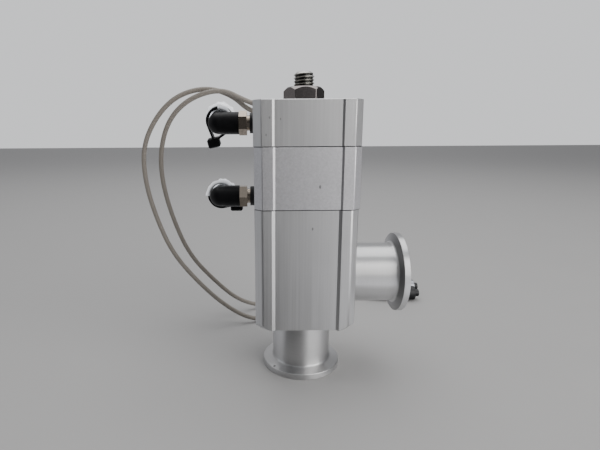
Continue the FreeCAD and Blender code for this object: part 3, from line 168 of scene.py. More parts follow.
class ValveStageSettings(bpy.types.PropertyGroup):
    """Plain floor and wall, and the light on them"""
    backdrop_tone: bpy.props.FloatVectorProperty(
        name="Backdrop tone", description="Colour of the plain wall behind the floor",
        subtype="COLOR", size=3, min=0.0, max=1.0, default=(0.95, 0.96, 0.98))
    floor_tone: bpy.props.FloatVectorProperty(
        name="Floor tone", description="Colour of the plain floor",
        subtype="COLOR", size=3, min=0.0, max=1.0, default=(0.43, 0.425, 0.42))
    daylight: bpy.props.FloatProperty(
        name="Daylight", description="Strength of the surrounding light",
        min=0.0, max=5.0, default=0.92)
    lamps: bpy.props.FloatProperty(
        name="Lamps", description="Strength of the three soft lamps",
        min=0.0, max=5.0, default=1.0)


# Sockets of a Mix node by number, because its names repeat for each kind of data
FLOAT_A, FLOAT_B, FLOAT_OUT = 2, 3, 0
COLOUR_A, COLOUR_B, COLOUR_OUT = 6, 7, 2


def set_inputs(node, values):
    """Set inputs of a node by their names or numbers."""
    for name, value in values.items():
        node.inputs[name].default_value = value


def add_node(tree, kind, place, values=None, **settings):
    """Place a node, set its plain properties and then the values of its inputs."""
    node = tree.nodes.new(kind)
    node.location = place
    for name, value in settings.items():
        setattr(node, name, value)
    set_inputs(node, values or {})
    return node


def math_node(tree, place, operation, values=None):
    """Place a node that works on numbers."""
    return add_node(tree, "ShaderNodeMath", place, values, operation=operation)


def vector_node(tree, place, operation, values=None):
    """Place a node that works on vectors."""
    return add_node(tree, "ShaderNodeVectorMath", place, values, operation=operation)


def range_node(tree, place, low, high, **settings):
    """Place a node that goes from 0 to 1 between two values."""
    return add_node(tree, "ShaderNodeMapRange", place, {"From Min": low, "From Max": high},
                    **settings)


def mix_colours(tree, place, values=None, **settings):
    """Place a node that mixes two colours."""
    return add_node(tree, "ShaderNodeMix", place, values, data_type="RGBA", **settings)


def wire(tree, *links):
    """Join nodes; each link names a node and its output, then a node and its input."""
    for source, output, target, entry in links:
        tree.links.new(source.outputs[output], target.inputs[entry])


def chain(tree, *nodes):
    """Join nodes in a row, each one's first output to the next one's first input."""
    wire(tree, *((source, 0, target, 0) for source, target in zip(nodes, nodes[1:])))


def new_group(name, inputs, outputs, kind="ShaderNodeTree"):
    """Start a node group; inputs and outputs give the kind of each socket by its name."""
    group = bpy.data.node_groups.new(name, kind)
    for in_out, sockets in (("INPUT", inputs), ("OUTPUT", outputs)):
        for socket, data in sockets.items():
            group.interface.new_socket(name=socket, in_out=in_out,
                                       socket_type="NodeSocket" + data)
    given = add_node(group, "NodeGroupInput", (-1100, 0)) if inputs else None
    made = add_node(group, "NodeGroupOutput", (1000, 0))
    return group, given, made


def make_grain_group():
    """Fine drawn or cast grain: a colour, a roughness and a height that vary over the surface."""
    group, given, made = new_group(
        "Surface grain",
        {"Density": "Vector", "Dark": "Color", "Light": "Color", "Smooth": "Float",
         "Rough": "Float"},
        {"Color": "Color", "Roughness": "Float", "Height": "Float"})
    where = add_node(group, "ShaderNodeTexCoord", (-1100, 300))
    stretch = vector_node(group, (-900, 200), "MULTIPLY")
    noise = add_node(group, "ShaderNodeTexNoise", (-700, 200),
                     {"Scale": 1.0, "Detail": 4.0, "Roughness": 0.6})
    crisp = range_node(group, (-500, 200), 0.30, 0.70)
    cloud = add_node(group, "ShaderNodeTexNoise", (-700, -100), {"Scale": 60.0, "Detail": 2.0})
    blend = add_node(group, "ShaderNodeMix", (-300, 100), {"Factor": 0.3}, data_type="FLOAT")
    colour = mix_colours(group, (100, 200))
    rough = add_node(group, "ShaderNodeMapRange", (100, -100))
    wire(group,
         (where, "Object", stretch, 0), (given, "Density", stretch, 1),
         (stretch, 0, noise, "Vector"), (where, "Object", cloud, "Vector"),
         (noise, "Fac", crisp, "Value"), (crisp, "Result", blend, FLOAT_A),
         (cloud, "Fac", blend, FLOAT_B), (blend, FLOAT_OUT, colour, "Factor"),
         (given, "Dark", colour, COLOUR_A), (given, "Light", colour, COLOUR_B),
         (blend, FLOAT_OUT, rough, "Value"), (given, "Smooth", rough, "To Min"),
         (given, "Rough", rough, "To Max"), (colour, COLOUR_OUT, made, "Color"),
         (rough, "Result", made, "Roughness"), (noise, "Fac", made, "Height"))
    return group


def make_seam_group():
    """Mask of the dark hairlines where one block stands on the next, by height: partly dirt in the
    joint, partly painted shade of its small gap and of the block's overhang.
    """
    group, given, made = new_group("Joint hairlines", {"Width": "Float"}, {"Mask": "Float"})
    where = add_node(group, "ShaderNodeTexCoord", (-900, 300))
    parts = add_node(group, "ShaderNodeSeparateXYZ", (-700, 300))
    both = math_node(group, (0, 100), "MAXIMUM")
    wire(group, (where, "Object", parts, 0), (both, 0, made, "Mask"))
    for number, node in enumerate(("main_cylinder", "upper_cylinder")):
        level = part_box(node)[0].z
        near = math_node(group, (-450, 250 - 250 * number), "COMPARE", {1: level})
        wire(group, (parts, "Z", near, 0), (given, "Width", near, 2), (near, 0, both, number))
    return group


# Small knocks in the front faces and the lower flange, with their radii, in metres
KNOCKS = (
    ((0.0055, -0.0235, 0.0967), 0.00060),
    ((0.0026, -0.0230, 0.0776), 0.00050),
    ((-0.0120, -0.0235, 0.1259), 0.00035),
    ((-0.0167, -0.0240, 0.1265), 0.00040),
    ((-0.0182, -0.0240, 0.1193), 0.00040),
    ((-0.0145, -0.0121, 0.0033), 0.00090),
)
KNOCK_WIDTH = 0.55  # width of a knock to its height
KNOCK_HEART = 0.45  # share of its radius that is fully dark


def make_knocks_group():
    """Mask of the small knocks, each at its place and with its radius."""
    group, _, made = new_group("Knocks", {}, {"Mask": "Float"})
    where = add_node(group, "ShaderNodeTexCoord", (-900, 0))
    flatten = vector_node(group, (-700, 0), "MULTIPLY", {1: (1.0, 1.0, KNOCK_WIDTH)})
    wire(group, (where, "Object", flatten, 0))
    total = None
    for number, (spot, radius) in enumerate(KNOCKS):
        far = vector_node(group, (-450, -200 * number), "DISTANCE",
                          {1: (spot[0], spot[1], spot[2] * KNOCK_WIDTH)})
        hit = range_node(group, (-200, -200 * number), radius, radius * KNOCK_HEART)
        wire(group, (flatten, 0, far, 0), (far, "Value", hit, "Value"))
        if total is None:
            total = hit
            continue
        gather = math_node(group, (100, -200 * number), "MAXIMUM")
        wire(group, (total, 0, gather, 0), (hit, 0, gather, 1))
        total = gather
    wire(group, (total, 0, made, "Mask"))
    return group


# Where the painted dark reflection on a flange's tapered back starts, from and to: behind its face
# and from its axis, in metres
BACK_DEPTH = (0.00285, 0.00300)
BACK_RADIUS = (0.0153, 0.0161)


def make_back_reflection_group():
    """Mask of a flange's tapered back, by depth behind its face and distance from its axis, for a
    painted dark reflection.
    """
    group, given, made = new_group("Flange back painted reflection", {"Face centre": "Vector", "Axis": "Vector"},
                                   {"Mask": "Float"})
    where = add_node(group, "ShaderNodeTexCoord", (-900, 0))
    offset = vector_node(group, (-700, 0), "SUBTRACT")
    depth = vector_node(group, (-450, -150), "DOT_PRODUCT")
    away = vector_node(group, (-450, 50), "CROSS_PRODUCT")
    radius = vector_node(group, (-200, 50), "LENGTH")
    behind = range_node(group, (0, -150), *BACK_DEPTH)
    beyond = range_node(group, (200, 50), *BACK_RADIUS)
    both = math_node(group, (600, 0), "MULTIPLY")
    wire(group,
         (where, "Object", offset, 0), (given, "Face centre", offset, 1),
         (offset, 0, depth, 0), (given, "Axis", depth, 1),
         (offset, 0, away, 0), (given, "Axis", away, 1),
         (away, 0, radius, 0), (depth, "Value", behind, "Value"),
         (radius, "Value", beyond, "Value"), (behind, "Result", both, 0),
         (beyond, "Result", both, 1), (both, 0, made, "Mask"))
    return group


def make_root_shade_group():
    """Mask of the roots of the upright screw's thread, below its top, for painted shade in the
    grooves between the crests.
    """
    group, given, made = new_group(
        "Thread root painted shade", {"Root": "Float", "Crest": "Float", "Top": "Float"}, {"Mask": "Float"})
    where = add_node(group, "ShaderNodeTexCoord", (-900, 0))
    flat = vector_node(group, (-700, 0), "MULTIPLY", {1: (1.0, 1.0, 0.0)})
    radius = vector_node(group, (-500, 0), "LENGTH")
    within = add_node(group, "ShaderNodeMapRange", (-200, 0), {"To Min": 1.0, "To Max": 0.0})
    parts = add_node(group, "ShaderNodeSeparateXYZ", (-500, -300))
    below = math_node(group, (-200, -300), "LESS_THAN")
    both = math_node(group, (300, 0), "MULTIPLY")
    wire(group,
         (where, "Object", flat, 0), (where, "Object", parts, 0), (flat, 0, radius, 0),
         (radius, "Value", within, "Value"), (given, "Root", within, "From Min"),
         (given, "Crest", within, "From Max"), (parts, "Z", below, 0),
         (given, "Top", below, 1), (within, "Result", both, 0), (below, 0, both, 1),
         (both, 0, made, "Mask"))
    return group


def make_neck_shade_group():
    """Mask of the painted shade on the film covers' necks under the tie, from the attribute on
    their meshes.
    """
    group, _, made = new_group("Film neck painted shade", {}, {"Mask": "Float"})
    mark = add_node(group, "ShaderNodeAttribute", (0, 0), attribute_name="neck_shade")
    wire(group, (mark, "Fac", made, "Mask"))
    return group


def nodes_of(material):
    """A material's node tree and its shader."""
    tree = material.node_tree
    return tree, tree.nodes["Principled BSDF"]


# one dark colour mixed in by every mask, for wear marks and for painted shade alike
STAIN_AND_SHADE = (0.02, 0.02, 0.02, 1.0)  # colour of every dark mark


def darken(material, group, strength, values=None):
    """Let a mask group darken a material's base colour, and give the mask's node."""
    tree, shader = nodes_of(material)
    before = shader.inputs["Base Color"].links[0].from_socket
    mask = add_node(tree, "ShaderNodeGroup", (-500, 350), values, node_tree=group)
    amount = math_node(tree, (-300, 350), "MULTIPLY", {1: strength})
    stain = mix_colours(tree, (-120, 250), {COLOUR_B: STAIN_AND_SHADE})
    tree.links.new(before, stain.inputs[COLOUR_A])
    wire(tree, (mask, "Mask", amount, 0), (amount, 0, stain, "Factor"),
         (stain, COLOUR_OUT, shader, "Base Color"))
    return mask


GRAIN_DEPTH = 0.00004  # height of the grain's relief in metres


def grained(name, tone, metallic, roughness, density=(900, 900, 900), spread=0.04,
            variation=0.06, bump=0.08):
    """Material with the shared grain, whose density is in marks to a metre along each axis."""
    material = bpy.data.materials.new(name)
    material.use_nodes = True
    tree, shader = nodes_of(material)
    set_inputs(shader, {"Metallic": metallic})
    grain = add_node(tree, "ShaderNodeGroup", (-500, 0), {
        "Density": density,
        "Dark": (*[max(0.0, c * (1 - variation)) for c in tone], 1),
        "Light": (*[min(1.0, c * (1 + variation)) for c in tone], 1),
        "Smooth": max(0.02, roughness - spread),
        "Rough": min(1.0, roughness + spread)}, node_tree=bpy.data.node_groups["Surface grain"])
    relief = add_node(tree, "ShaderNodeBump", (-250, -250),
                      {"Strength": bump, "Distance": GRAIN_DEPTH})
    wire(tree, (grain, "Color", shader, "Base Color"), (grain, "Roughness", shader, "Roughness"),
         (grain, "Height", relief, "Height"), (relief, "Normal", shader, "Normal"))
    return material


ACROSS, ALONG = 90, 4200  # tool marks in one metre of a turned face


def turned(name, tone, roughness, axis):
    """Metal turned about its own axis: light smears along that axis, across the tool marks."""
    density = (ACROSS, ACROSS, ALONG) if axis == "Z" else (ALONG, ACROSS, ACROSS)
    material = grained(name, tone, 1.0, roughness, density, variation=0.05, bump=0.12)
    tree, shader = nodes_of(material)
    set_inputs(shader, {"Anisotropic": 0.75, "Anisotropic Rotation": 0.25})
    marks = add_node(tree, "ShaderNodeTangent", (-250, -450), direction_type="RADIAL", axis=axis)
    wire(tree, (marks, "Tangent", shader, "Tangent"))
    return material


# Finishes with the shared grain alone, by slot: name, colour, metal, roughness
PLAIN_FINISHES = {
    "bright_steel": ("Zinc plated steel", (0.62, 0.62, 0.61), 1.0, 0.25),
    "bellows_steel": ("Formed steel sheet", (0.63, 0.62, 0.60), 1.0, 0.22),
    "spring_steel": ("Drawn spring wire", (0.42, 0.43, 0.45), 1.0, 0.30),
    "stud_steel": ("Rolled thread steel", (0.56, 0.555, 0.52), 1.0, 0.30),
    # the nut's tone is far darker than plated steel: painted dark reflection of the surroundings
    # that the polished nut mirrors
    "nut_steel": ("Nickel plated steel", (0.245, 0.222, 0.216), 1.0, 0.16),
    "nickel_brass": ("Nickel plated brass", (0.40, 0.345, 0.285), 1.0, 0.20),
    "magnet": ("Moulded magnet", (0.06, 0.06, 0.06), 0.0, 0.6),
    "black_rubber": ("Nitrile rubber", (0.014, 0.014, 0.015), 0.0, 0.55),
    "vacuum_rubber": ("Fluoro rubber", (0.02, 0.02, 0.022), 0.0, 0.5),
    "bearing_plastic": ("Bearing plastic", (0.16, 0.13, 0.10), 0.0, 0.5),
    "white_plastic": ("White moulding", (0.80, 0.80, 0.78), 0.0, 0.4),
    "dark_nylon": ("Black nylon", (0.005, 0.005, 0.006), 0.0, 0.42),
    "switch_plastic": ("Grey moulding", (0.42, 0.42, 0.41), 0.0, 0.45),
    "plug_plastic": ("Plug moulding", (0.012, 0.012, 0.014), 0.0, 0.42),
    "plug_nickel": ("Nickel plated nut", (0.36, 0.37, 0.40), 1.0, 0.30),
}


def make_film():
    """Dust cover film with a painted glow that stands in for light shining through it, and painted
    shade on its neck under the tie.
    """
    material = grained("Dust cover film", (0.92, 0.93, 0.94), 0.0, 0.22)
    tree, shader = nodes_of(material)
    # painted light: the film's emission glows as if lit through from behind, except at its shaded
    # neck
    set_inputs(shader, {"Transmission Weight": 0.12, "IOR": 1.3, "Emission Strength": 0.42})
    neck = darken(material, make_neck_shade_group(), 1.0)
    glow = mix_colours(tree, (-120, -250), {COLOUR_A: (0.93, 0.95, 1.0, 1.0),
                                            COLOUR_B: (0.0, 0.0, 0.0, 1.0)})
    wire(tree, (neck, "Mask", glow, "Factor"), (glow, COLOUR_OUT, shader, "Emission Color"))
    return material


# How far each mask darkens a finish, and the width of the hairlines in metres
KNOCKS_DARK = {"body_aluminium": 0.62, "block_aluminium": 0.40, "blasted_block": 0.62,
               "turned_lower": 0.75}
SEAMS_DARK, ROOT_SHADE_DARK, BACK_REFLECTION_DARK = 0.80, 0.90, 0.66
SEAM_WIDTH = 0.00018


def make_finishes(metal, leads):
    """Every finish of the valve, by the record's material slots."""
    body, block = tuple(metal.body_tone), tuple(metal.block_tone)
    bright = tuple(min(1.0, 1.08 * value) for value in body)
    satin = metal.satin
    finishes = {slot: grained(*row) for slot, row in PLAIN_FINISHES.items()}
    finishes.update({
        "body_aluminium": grained("Drawn aluminium", body, 1.0, satin, (1300, 1300, 14),
                                  variation=0.09, bump=0.16),
        "block_aluminium": grained("Drawn aluminium block", body, 1.0, satin, (1300, 1300, 18),
                                   variation=0.08, bump=0.16),
        "blasted_block": grained("Blasted aluminium block", block, 1.0, satin + 0.02,
                                 (1050, 1050, 1050), variation=0.12, bump=0.22),
        "turned_lower": turned("Turned aluminium, upright axis", bright, satin - 0.06, "Z"),
        "turned_side": turned("Turned aluminium, side axis", bright, satin - 0.06, "X"),
        "stainless_steel": turned("Turned stainless steel", (0.60, 0.59, 0.58), 0.26, "Z"),
        "piston_aluminium": turned("Hard anodised aluminium", (0.30, 0.30, 0.31), 0.36, "Z"),
        "black_plastic": grained("Black moulding", (0.005, 0.005, 0.006), 0.0, 0.38,
                                 (700, 700, 700), bump=0.15),
        "lead_sheath": grained("Lead sheath", tuple(leads.sheath_tone), 0.0, 0.5, spread=0.06),
        "cover_film": make_film(),
    })
    seams, knocks = make_seam_group(), make_knocks_group()
    # the joint hairlines are partly dirt and partly painted shade of the gap and the overhang
    for slot in ("body_aluminium", "block_aluminium", "blasted_block"):
        darken(finishes[slot], seams, SEAMS_DARK, {"Width": SEAM_WIDTH})
    for slot, strength in KNOCKS_DARK.items():
        darken(finishes[slot], knocks, strength)
    # painted shade: the thread's roots are darkened so its grooves read dark between the bright
    # crests
    darken(finishes["stud_steel"], make_root_shade_group(), ROOT_SHADE_DARK,
           {"Root": 0.00435, "Crest": 0.00480, "Top": 0.1474})
    # painted dark reflection: the side flange's tapered back is darkened as if it mirrored a dark
    # room
    darken(finishes["turned_side"], make_back_reflection_group(), BACK_REFLECTION_DARK,
           {"Face centre": (0.050, 0.0, 0.050), "Axis": (-1.0, 0.0, 0.0)})
    for slot in ("black_plastic", "dark_nylon"):
        set_inputs(nodes_of(finishes[slot])[1], {"Specular IOR Level": 0.18})
    return finishes


# Pieces whose finish isn't the one of their slot in the record
OWN_FINISH = {"lower_port_flange": "turned_lower", "lower_port_neck": "turned_lower",
              "side_port_flange": "turned_side", "side_port_neck": "turned_side",
              "main_cylinder": "blasted_block",
              "outer_coupling_nut": "plug_plastic", "inner_coupling_nut": "plug_nickel"}
FINISH_NAMES = {}  # name of each material by its slot, filled by the first step


def finish_of(node):
    """The material of a CAD node, by its own finish or its slot in the record."""
    slots = {part["node"]: part["material_slot"] for part in frame["record"]["subparts"]}
    return bpy.data.materials[FINISH_NAMES[OWN_FINISH.get(node, slots[node])]]


def new_object(name, data):
    """Put data into the scene as an object."""
    made = bpy.data.objects.new(name, data)
    bpy.context.scene.collection.objects.link(made)
    return made


def new_piece(name, mesh, body, node=None):
    """Add a finished mesh that rides on a body, and stands for a CAD node in its finish."""
    piece = new_object(name, mesh)
    if node is not None:
        mesh.materials.clear()
        mesh.materials.append(finish_of(node))
    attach(piece, body)
    if node is not None:
        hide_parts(node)
    return piece


def merged_copy(node, flat=None):
    """Copy of a CAD node's mesh, its loose triangles joined, and its flats within an angle."""
    work = bmesh.new()
    work.from_mesh(NODES[node].data)
    bmesh.ops.remove_doubles(work, verts=work.verts, dist=1e-6)
    if flat is not None:
        bmesh.ops.dissolve_limit(work, angle_limit=math.radians(flat), verts=work.verts,
                                 edges=work.edges)
    return work


def write_mesh(work, name):
    """Turn worked geometry into a smooth mesh, sharp at the edges marked so."""
    for face in work.faces:
        face.smooth = True
    mesh = bpy.data.meshes.new(name)
    work.to_mesh(mesh)
    work.free()
    return mesh


def to_mesh(work, name, smooth_angle=35.0):
    """Turn worked geometry into a mesh whose edges past an angle are sharp."""
    limit = math.radians(smooth_angle)
    for edge in work.edges:
        if len(edge.link_faces) == 2 and edge.calc_face_angle(0.0) > limit:
            edge.smooth = False
    return write_mesh(work, name)


FLAT_BEND = math.radians(20)  # up to this angle an untouched edge stays smooth


def soften(work, edges, offset, segments, name):
    """Round some edges of worked geometry and turn it into a mesh whose flats stay flat."""
    made = bmesh.ops.bevel(work, geom=edges, offset=offset, segments=segments, profile=0.5,
                           affect="EDGES", clamp_overlap=True)
    rounded = set(made["faces"])
    for edge in work.edges:
        count = sum(face in rounded for face in edge.link_faces)
        if count != 2:
            edge.smooth = count == 0 and edge.calc_face_angle(0.0) < FLAT_BEND
    return write_mesh(work, name)


def pull_in(vertex, limit):
    """Draw a vertex in to a radius about the upright axis."""
    reach = math.hypot(vertex.co.x, vertex.co.y)
    if reach > limit:
        vertex.co.x *= limit / reach
        vertex.co.y *= limit / reach


def bake_tree(tree, name, values):
    """Run a geometry tree on an empty mesh and return its result as a plain mesh."""
    holder = new_object(name + " holder", bpy.data.meshes.new(name + " holder"))
    modifier = holder.modifiers.new("Build", "NODES")
    modifier.node_group = tree
    for item in tree.interface.items_tree:
        if item.item_type == "SOCKET" and item.in_out == "INPUT" and item.name in values:
            modifier[item.identifier] = values[item.name]
    graph = bpy.context.evaluated_depsgraph_get()
    mesh = bpy.data.meshes.new_from_object(holder.evaluated_get(graph), depsgraph=graph)
    mesh.name = name
    holder.modifiers.remove(modifier)
    bpy.data.objects.remove(holder)
    return mesh


def make_thread_tree():
    """Ridge of a screw thread that winds up from the base."""
    tree, given, made = new_group(
        "Screw thread",
        {"Root radius": "Float", "Depth": "Float", "Base": "Float", "Height": "Float",
         "Pitch": "Float", "Finish": "Material"}, {"Geometry": "Geometry"}, "GeometryNodeTree")
    turns = math_node(tree, (-700, 100), "DIVIDE")
    spiral = add_node(tree, "GeometryNodeCurveSpiral", (-450, 100),
                      {"Resolution": 72, "Reverse": True})
    upright = add_node(tree, "GeometryNodeSetCurveNormal", (-250, 100), mode="Z_UP")
    profile = add_node(tree, "GeometryNodeCurvePrimitiveCircle", (-450, -150),
                       {"Resolution": 4})
    flank = add_node(tree, "GeometryNodeTransform", (-250, -150), {"Scale": (1.0, 0.85, 1.0)})
    sweep = add_node(tree, "GeometryNodeCurveToMesh", (0, 0), {"Fill Caps": True})
    lift = add_node(tree, "ShaderNodeCombineXYZ", (0, -250))
    move = add_node(tree, "GeometryNodeTransform", (200, 0))
    whole = add_node(tree, "GeometryNodeRealizeInstances", (400, 0))
    paint = add_node(tree, "GeometryNodeSetMaterial", (600, 0))
    chain(tree, profile, flank)
    chain(tree, spiral, upright, sweep, move, whole, paint, made)
    wire(tree,
         (given, "Height", turns, 0), (given, "Pitch", turns, 1),
         (turns, 0, spiral, "Rotations"), (given, "Root radius", spiral, "Start Radius"),
         (given, "Root radius", spiral, "End Radius"), (given, "Height", spiral, "Height"),
         (given, "Depth", profile, "Radius"), (flank, "Geometry", sweep, "Profile Curve"),
         (given, "Base", lift, "Z"), (lift, "Vector", move, "Translation"),
         (given, "Finish", paint, "Material"))
    return tree


def make_rib_tree():
    """Ribs in a ring round a nut that lies along X."""
    tree, given, made = new_group(
        "Grip ribs",
        {"Count": "Int", "Radius": "Float", "Rib": "Vector", "Centre": "Vector",
         "Finish": "Material"}, {"Geometry": "Geometry"}, "GeometryNodeTree")
    ring = add_node(tree, "GeometryNodeMeshCircle", (-650, 150))
    rib = add_node(tree, "GeometryNodeMeshCube", (-650, -100))
    spot = add_node(tree, "GeometryNodeInputPosition", (-900, -300))
    parts = add_node(tree, "ShaderNodeSeparateXYZ", (-700, -300))
    angle = math_node(tree, (-500, -300), "ARCTAN2")
    turn = add_node(tree, "ShaderNodeCombineXYZ", (-300, -300))
    copies = add_node(tree, "GeometryNodeInstanceOnPoints", (-100, 0))
    whole = add_node(tree, "GeometryNodeRealizeInstances", (150, 0))
    lay = add_node(tree, "GeometryNodeTransform", (400, 0),
                   {"Rotation": (0.0, math.pi / 2, 0.0)})
    paint = add_node(tree, "GeometryNodeSetMaterial", (700, 0))
    chain(tree, ring, copies, whole, lay, paint, made)
    wire(tree,
         (given, "Count", ring, "Vertices"), (given, "Radius", ring, "Radius"),
         (given, "Rib", rib, "Size"), (spot, "Position", parts, "Vector"),
         (parts, "Y", angle, 0), (parts, "X", angle, 1), (angle, 0, turn, "Z"),
         (rib, "Mesh", copies, "Instance"), (turn, "Vector", copies, "Rotation"),
         (given, "Centre", lay, "Translation"), (given, "Finish", paint, "Material"))
    return tree


class VALVE_OT_finishes(bpy.types.Operator):
    """Make every finish and put it on the CAD pieces"""
    bl_idname = "valve.finishes"
    bl_label = "Finishes"

    def execute(self, context):
        scene = context.scene
        make_grain_group()
        for slot, material in make_finishes(scene.valve_metal, scene.valve_leads).items():
            FINISH_NAMES[slot] = material.name
        for node, piece in NODES.items():
            piece.data.materials.clear()
            piece.data.materials.append(finish_of(node))
        return {"FINISHED"}


# A drawn corner is upright, turns 45 degrees, and is at least so high and so far out, in metres
CORNER_HEIGHT = 0.008
CORNER_REACH = 0.0225


class VALVE_OT_blocks(bpy.types.Operator):
    """Round the drawn corners of the body and both cylinder blocks"""
    bl_idname = "valve.blocks"
    bl_label = "Body and blocks"

    def execute(self, context):
        radius = context.scene.valve_metal.corner
        for node in ("valve_body", "main_cylinder", "upper_cylinder"):
            work = merged_copy(node, flat=0.5)
            corners = []
            for edge in work.edges:
                low, high = sorted((vertex.co for vertex in edge.verts), key=lambda co: co.z)
                upright = (high.xy - low.xy).length < 1e-5 and high.z - low.z > CORNER_HEIGHT
                bend = abs(edge.calc_face_angle(0.0) - math.pi / 4) < 0.1
                if upright and bend and max(abs(low.x), abs(low.y)) > CORNER_REACH:
                    corners.append(edge)
            mesh = soften(work, corners, radius, 4, node + " softened")
            new_piece(node + "_softened", mesh, "housing", node)
        return {"FINISHED"}


# Top of the screw to its first crest on the left, and the chamfer at its top, in metres
THREAD_CREST = 0.0013
SCREW_TOP_DEPTH = 0.0010
SCREW_TOP_REACH = 0.0016
SCREW_TOP_GAP = 0.00003  # that the thread stays below the top
SCREW_FOOT_GAP = 0.0001  # and above the foot
CREST_GAP = 0.00005  # that the crests stay inside the screw's radius


class VALVE_OT_thread(bpy.types.Operator):
    """Cut the adjusting screw down to its root and wind the thread round it"""
    bl_idname = "valve.thread"
    bl_label = "Adjusting screw thread"

    def execute(self, context):
        settings = context.scene.valve_thread
        low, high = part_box("adjusting_screw")
        crest = high.x
        root = crest - settings.depth
        work = merged_copy("adjusting_screw")
        for vertex in work.verts:
            pull_in(vertex, root)
        core = to_mesh(work, "Adjusting screw core")
        turns = math.floor((high.z - low.z) / settings.pitch) - 1
        base = high.z - THREAD_CREST - settings.pitch * (turns + 0.5)
        thread = bake_tree(make_thread_tree(), "Adjusting screw thread", {
            "Root radius": root, "Depth": settings.depth,
            "Base": base, "Height": settings.pitch * (turns + 1),
            "Pitch": settings.pitch, "Finish": finish_of("adjusting_screw")})
        joined = bmesh.new()
        joined.from_mesh(thread)
        for vertex in joined.verts:
            above = max(0.0, vertex.co.z - (high.z - SCREW_TOP_DEPTH))
            pull_in(vertex, crest - CREST_GAP - above * SCREW_TOP_REACH / SCREW_TOP_DEPTH)
            vertex.co.z = min(max(vertex.co.z, low.z + SCREW_FOOT_GAP), high.z - SCREW_TOP_GAP)
        joined.from_mesh(core)
        mesh = to_mesh(joined, "Adjusting screw")
        new_piece("adjusting_screw_threaded", mesh, "adjuster", "adjusting_screw")
        return {"FINISHED"}


# A nut's corner bends more than so many degrees, and is so high and so far out, in metres
NUT_CORNER_BEND = 50
NUT_CORNER_HEIGHT = 0.002
NUT_CORNER_REACH = 0.008


class VALVE_OT_lock_nut(bpy.types.Operator):
    """Soften the lock nut's corners and turn it to where it was tightened"""
    bl_idname = "valve.lock_nut"
    bl_label = "Lock nut"

    def execute(self, context):
        settings = context.scene.valve_lock_nut
        work = merged_copy("lock_nut", flat=1.0)
        bmesh.ops.rotate(work, cent=(0, 0, 0), matrix=Matrix.Rotation(settings.turn, 3, "Z"),
                         verts=work.verts)
        corners = [edge for edge in work.edges
                   if edge.calc_face_angle(0.0) > math.radians(NUT_CORNER_BEND)
                   and abs(edge.verts[0].co.z - edge.verts[1].co.z) > NUT_CORNER_HEIGHT
                   and edge.verts[0].co.xy.length > NUT_CORNER_REACH]
        mesh = soften(work, corners, settings.corner, 3, "Lock nut")
        new_piece("lock_nut_softened", mesh, "adjuster_nut", "lock_nut")
        return {"FINISHED"}


RIB_LENGTH = 0.62  # share of the nut's length
RIB_WIDTH = 0.14  # share of its radius


class VALVE_OT_nut_ribs(bpy.types.Operator):
    """Put grip ribs round both coupling nuts"""
    bl_idname = "valve.nut_ribs"
    bl_label = "Coupling nut ribs"

    def execute(self, context):
        settings = context.scene.valve_nut_ribs
        tree = make_rib_tree()
        for side in ("outer", "inner"):
            low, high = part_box(side + "_coupling_nut")
            radius = (high.z - low.z) / 2
            mesh = bake_tree(tree, side + " nut ribs", {
                "Count": settings.count, "Radius": radius - settings.height,
                "Rib": (settings.height * 2, radius * RIB_WIDTH, (high.x - low.x) * RIB_LENGTH),
                "Centre": tuple((low + high) / 2), "Finish": finish_of(side + "_coupling_nut")})
            new_piece(side + "_nut_ribs", mesh, side + "_plug_nut")
        return {"FINISHED"}


class VALVE_OT_springs(bpy.types.Operator):
    """Give the bellows and springs smooth copies that ride on the valves' moving parts"""
    bl_idname = "valve.springs"
    bl_label = "Bellows and springs"

    def execute(self, context):
        for joint in frame["record"]["behaviour"]["joints"]:
            for row in joint.get("deforming_nodes", []):
                node = row["node"]
                mesh = to_mesh(merged_copy(node), node + " coils")
                piece = new_piece(node + "_coils", mesh, joint["child"], node)
                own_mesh(piece)
        return {"FINISHED"}


# Film covers: place and swivel, the mouth's fold in front of the tie and the bag's swelling
# behind it by the angle about the outlet (0 towards the valve, 90 up), and the angle of the
# tie's head, which the bag leaves free; millimetres and degrees, as in all the film's values
FILM_COVERS = {
    "upper": {
        "spot": (-41.0, 0.0, 125.1), "turn": 13.0, "head": -108.0,
        "fold": ((-180, 0.0), (30, 0.0), (40, 1.3), (60, 2.1), (86, 2.7), (93, 2.5), (97, 0.0),
                 (180, 0.0)),
        "bag": ((-180, 0.55), (-120, 0.35), (-60, 0.3), (20, 0.3), (60, 0.6), (100, 0.7),
                (150, 0.65), (180, 0.55))},
    "lower": {
        "spot": (-41.2, 0.0, 89.8), "turn": -2.0, "head": -38.0,
        "fold": ((-180, 2.0), (-174, 0.0), (27, 0.0), (37, 1.5), (60, 1.9), (78, 2.2),
                 (86, 1.9), (100, 1.8), (114, 2.0), (140, 1.7), (168, 1.7), (180, 2.0)),
        "bag": ((-180, 0.2), (-120, 0.0), (0, 0.0), (60, 0.3), (120, 0.3), (180, 0.2))},
}
FILM_NECK = 5.85  # radius under the tie, which starts and ends at these places on the outlet
TIE_START, TIE_END = 7.6, 9.55
FILM_STATIONS = (  # along the outlet, plain radius, share of pleats, share of swelling
    (TIE_START, FILM_NECK, 0.0, 0.0), (TIE_END, FILM_NECK, 0.0, 0.0), (9.75, 6.5, 0.2, 0.3),
    (10.1, 7.0, 0.4, 0.8), (11.0, 7.3, 0.8, 1.0), (12.6, 7.35, 1.0, 1.0), (15.0, 7.25, 1.0, 0.9),
    (17.5, 6.9, 1.0, 0.7), (19.5, 5.8, 1.2, 0.4), (20.9, 4.0, 1.0, 0.1), (21.8, 1.9, 0.5, 0.0),
    (22.1, 0.8, 0.2, 0.0),
)
FILM_TAILS = (22.2, 21.9)  # ends of the outer and the inner face
FILM_AROUND = 144
FILM_MOUTH_ROWS = 6
